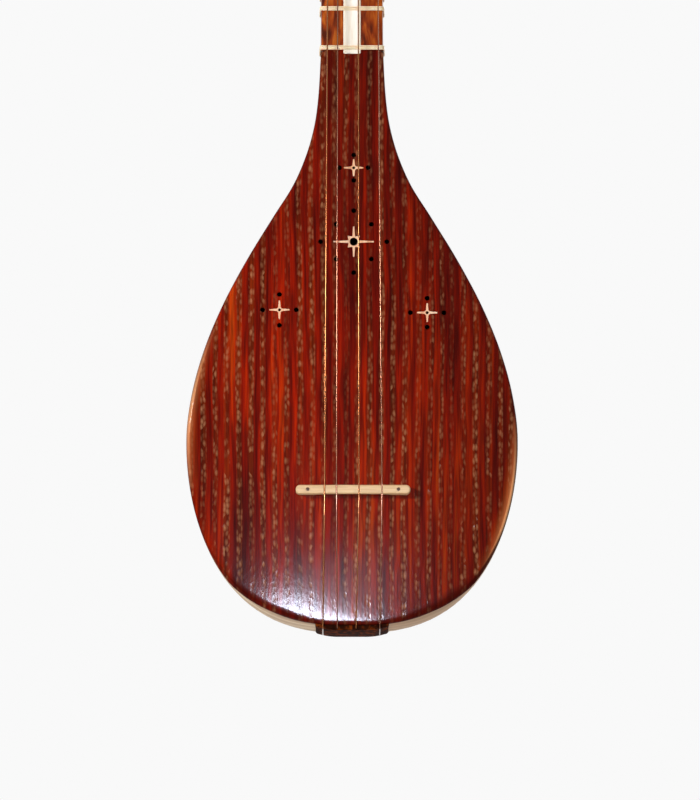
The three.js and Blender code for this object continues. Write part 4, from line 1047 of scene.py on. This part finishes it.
def stringRoute(i, p):
    x = strings["tailWidth"] / 2 * strings["tailShares"][i]
    bend, lift = strings["tailBend"], strings["tailLift"]
    front = -faceLevel - clearance - p.diameter / 2
    points = [Vector((x, strings["tailHook"], lift))]
    for turn in quarterTurn(8):
        points.append(Vector((x, front + bend * (1 - math.sin(turn)), lift + bend * (1 - math.cos(turn)))))
    across = bridge["length"] / 2 * strings["bridgeShares"][i]
    points.append(Vector((across, -bridgeLevel, scale["bridgePlace"])))
    points.append(Vector((neck["nutHalfWidth"] * strings["nutShares"][i], -strings["nutLevel"], nutPlace)))
    return points + p.winding()


# Long runs are cut into short pieces, so that the cord's rings and its pattern stay even
def eased(points, step=14):
    out = []
    for a, b in zip(points, points[1:]):
        pieces = max(int((b - a).length // step), 1)
        out += [a.lerp(b, k / pieces) for k in range(pieces)]
    return out + [points[-1]]


routes = [stringRoute(i, p) for i, p in enumerate(pegs)]
for i, p in enumerate(pegs):
    kind, wire = ("bronze", bronzeMaterial) if i in (1, 3) else ("steel", steelMaterial)
    bm = roundCord(eased(routes[i]), p.wire / 2)
    finishPiece(f"string_visual_{p.name}", bm, wire, "root", [f"string_{p.name}"], sharp=60)
print("setar: strings made")


# A cutter along a string, where it bends over the bridge or the nut
def notch(i, middle, reach=7):
    points = routes[i]
    spot = next(k for k, point in enumerate(points) if abs(point.z - middle) < 1e-6)
    before = (points[spot - 1] - points[spot]).normalized() * reach
    after = (points[spot + 1] - points[spot]).normalized() * reach
    bend = [points[spot] + before, points[spot], points[spot] + after]
    return roundCord(bend, pegs[i].wire / 2 + strings["wireGap"], 12)


# Bridge: a bar of pale wood with round ends on two feet, with a dark hole near each end
def makeBridge():
    half, z = bridge["length"] / 2, scale["bridgePlace"]
    left, right = bridge["offset"] - half, bridge["offset"] + half
    foot, centre = -boardFace(half, z) - clearance, -boardFace(0, z) - clearance
    innerLeft, innerRight = left + bridge["foot"], right - bridge["foot"]
    fullness, underFoot = bridge["archFullness"], foot - bridge["footRelief"]
    points = [(left, -bridgeLevel), (left, foot), (innerLeft, underFoot)]
    # The arch's points stand closer together near the feet, where it is steep
    for k in range(1, 16):
        t = k / 16
        hump = 4 * t * (1 - t)
        x = innerLeft + (innerRight - innerLeft) * (t - math.sin(2 * math.pi * t) / 14)
        points.append((x, centre - bridge["arch"] * hump * (1 - fullness * hump + fullness)))
    points += [(innerRight, underFoot), (right, foot), (right, -bridgeLevel)]
    thickness, radius = bridge["thickness"], bridge["eyeRadius"]
    bm = slab([(x, y, z - thickness / 2) for x, y in points], (0, 0, thickness))
    upright = [
        e for e in bm.edges
        if all(abs(e.verts[0].co[axis] - e.verts[1].co[axis]) < tiny for axis in (0, 2))
        and min(abs(e.verts[0].co.x - end) for end in (left, right)) < tiny
    ]
    roundEdges(bm, upright, thickness / 2 - 0.05, 8)
    rims = [e for e in rimAt(bm, -bridgeLevel) if len(e.link_faces) == 2 and e.calc_face_angle() > 1]
    roundEdges(bm, rims, bridge["rounding"], 4)
    bottom = -bridgeLevel + bridge["eyeDepth"]
    eyePlaces = (left + bridge["eyeInset"], right - bridge["eyeInset"])
    drills = [roundBar((x, -bridgeLevel - 3, z), (x, bottom, z), radius, radius, 20) for x in eyePlaces]
    bm = carved(carved(bm, drills), [notch(i, z) for i in range(4)])
    finishPiece("bridge_visual", bm, bridgeMaterial, "root", ["bridge"])


makeBridge()


# Nut: a bone bar with a rounded top
def makeNut():
    half = neckSide(nutPlace, boardTop) - clearance
    bm = bmesh.new()
    bmesh.ops.create_cube(bm, size=1)
    height = strings["nutLevel"] - stripBase
    bmesh.ops.scale(bm, vec=(2 * half, height, neck["nutThickness"]), verts=bm.verts)
    bmesh.ops.translate(bm, verts=bm.verts, vec=(0, -stripBase - height / 2, nutPlace))
    top = [e for e in bm.edges if all(v.co.y < -stripBase - height / 2 for v in e.verts)]
    roundEdges(bm, top, neck["nutRounding"], 5)
    bm = carved(bm, [notch(i, nutPlace) for i in range(4)])
    finishPiece("nut_visual", bm, boneMaterial, "root", ["nut"])


makeNut()
print("setar: bridge and nut made")


# Tailpiece: a dark block that hugs the bowl's tail, slotted underneath for the strings
def makeTailpiece():
    half, rise, corner, gap = (tailpiece[key] for key in ("halfWidth", "rise", "corner", "gap"))
    flat = tailpiece["flat"] / 2
    side = [(flat + (half - corner - flat) * k / 8, rise * (k / 8) ** 2) for k in range(9)]
    for t in quarterTurn(6, 1):
        side.append((half - corner + corner * math.sin(t), rise + corner - corner * math.cos(t)))
    side.append((half, tailpiece["height"]))
    bm = slabAlongY(side + [(-x, z) for x, z in reversed(side)], -faceLevel, tailpiece["back"])
    roundEdges(bm, rimAt(bm, -faceLevel), tailpiece["rounding"], 3)
    places = bowlPlaces(widestPlace * bowl["startShare"], widestPlace * 1.2)
    filling = shapedGrid(96, len(places) - 1, lambda i, j: skinPoint(places[j], 2 * math.pi * i / 96, -gap))
    # The board's tail end, a little wider and lower than it is, up to 40 mm from the floor
    edge = sorted((p.x * 1.004, p.y - gap * 0.75) for p in outline if p.y < 40)
    boardTool = slabAlongY(edge, -faceLevel - 4, -bowl["rimOffset"] + gap)
    slots = [roundCord(routes[i][:10], pegs[i].diameter / 2 + gap) for i in range(4)]
    for tool in (filling, boardTool, merged(slots)):
        bm = carved(bm, [tool])
    finishPiece("tailpiece_visual", bm, tailMaterial, "root", ["tailpiece"])


makeTailpiece()
print("setar: tailpiece made")


# Gut frets: three turns of gut side by side round the neck, tied off with a small knot on the bass side
frets = {
    "cents": [
        90, 135, 205, 295, 340, 410, 500, 565, 630, 700, 790, 835, 905,
        995, 1040, 1110, 1200, 1290, 1335, 1405, 1495, 1540, 1610, 1700, 1755, 1902,
    ],
    "gutRadius": 0.34, "turns": 3, "pitch": 0.72, "corner": 1.0, "gap": 0.1, "arcSteps": 48,
    "knotTurn": 144, "knotReach": 1.5, "knotLean": 0.5,
    "knotPath": [(-1, -0.8), (-0.5, 0), (0.5, 0), (1, -0.8)],
}


# Points round the neck at one height, a little above the wood
def fretLoop(z, lift):
    half, rear, centre = neckForm(z)
    corner = frets["corner"]
    shoulder = boardTop - corner
    flat = neckSide(z, shoulder) - corner
    reach = corner + lift
    turned = [(flat + reach * math.sin(t), shoulder + reach * math.cos(t)) for t in quarterTurn(4, 1)]
    levels = [shoulder - (shoulder + centre) * k / 4 for k in range(1, 4)]
    turned += [(neckSide(z, level) + lift, level) for level in levels]
    arc = [math.pi * k / frets["arcSteps"] for k in range(frets["arcSteps"] + 1)]
    points = [(flat * (k / 3 - 1), boardTop + lift) for k in range(7)] + turned
    points += [((half + lift) * math.cos(t), -centre - (rear - centre + lift) * math.sin(t)) for t in arc]
    points += [(-x, level) for x, level in reversed(turned)]
    return [Vector((x, -level, z)) for x, level in points]


# Two short ends of gut crossed over the turns, behind the bass side
def fretKnot(z, lift):
    half, rear, centre = neckForm(z)
    turn = math.radians(frets["knotTurn"])
    spot = Vector((half * math.cos(turn), centre + (rear - centre) * math.sin(turn), z))
    out = Vector((math.cos(turn) / half, math.sin(turn) / (rear - centre), 0)).normalized()
    along = Vector((-out.y, out.x, 0))
    ends = []
    for side, rise in ((1, 2), (-1, 3.9)):
        way = along * side * frets["knotLean"] + Vector((0, 0, frets["knotReach"]))
        heights = [(t, lift + frets["gutRadius"] * (rise + drop)) for t, drop in frets["knotPath"]]
        ends.append([spot + out * height + way * t for t, height in heights])
    return ends


for n, cents in enumerate(frets["cents"], 1):
    z = scale["bridgePlace"] + scale["speakingLength"] / 2 ** (cents / 1200)
    radius = frets["gutRadius"]
    lift = frets["gap"] + radius
    loops = [fretLoop(z + (k - 1) * frets["pitch"], lift) for k in range(frets["turns"])]
    cords = [roundCord(loop, radius, 8, closed=True) for loop in loops]
    cords += [roundCord(end, radius * 0.9, 8) for end in fretKnot(z, lift)]
    fret = f"fret_{n:02d}"
    finishPiece(f"fret_visual_{n:02d}", merged(cords), gutMaterial, fret, [fret], sharp=60)
print("setar: frets made")

# The solids inside the bowl keep their form and get only bare wood
for name in ("rim_lining", "neck_block", "tail_block"):
    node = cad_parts[name]
    node.data.materials.clear()
    node.data.materials.append(blockMaterial)
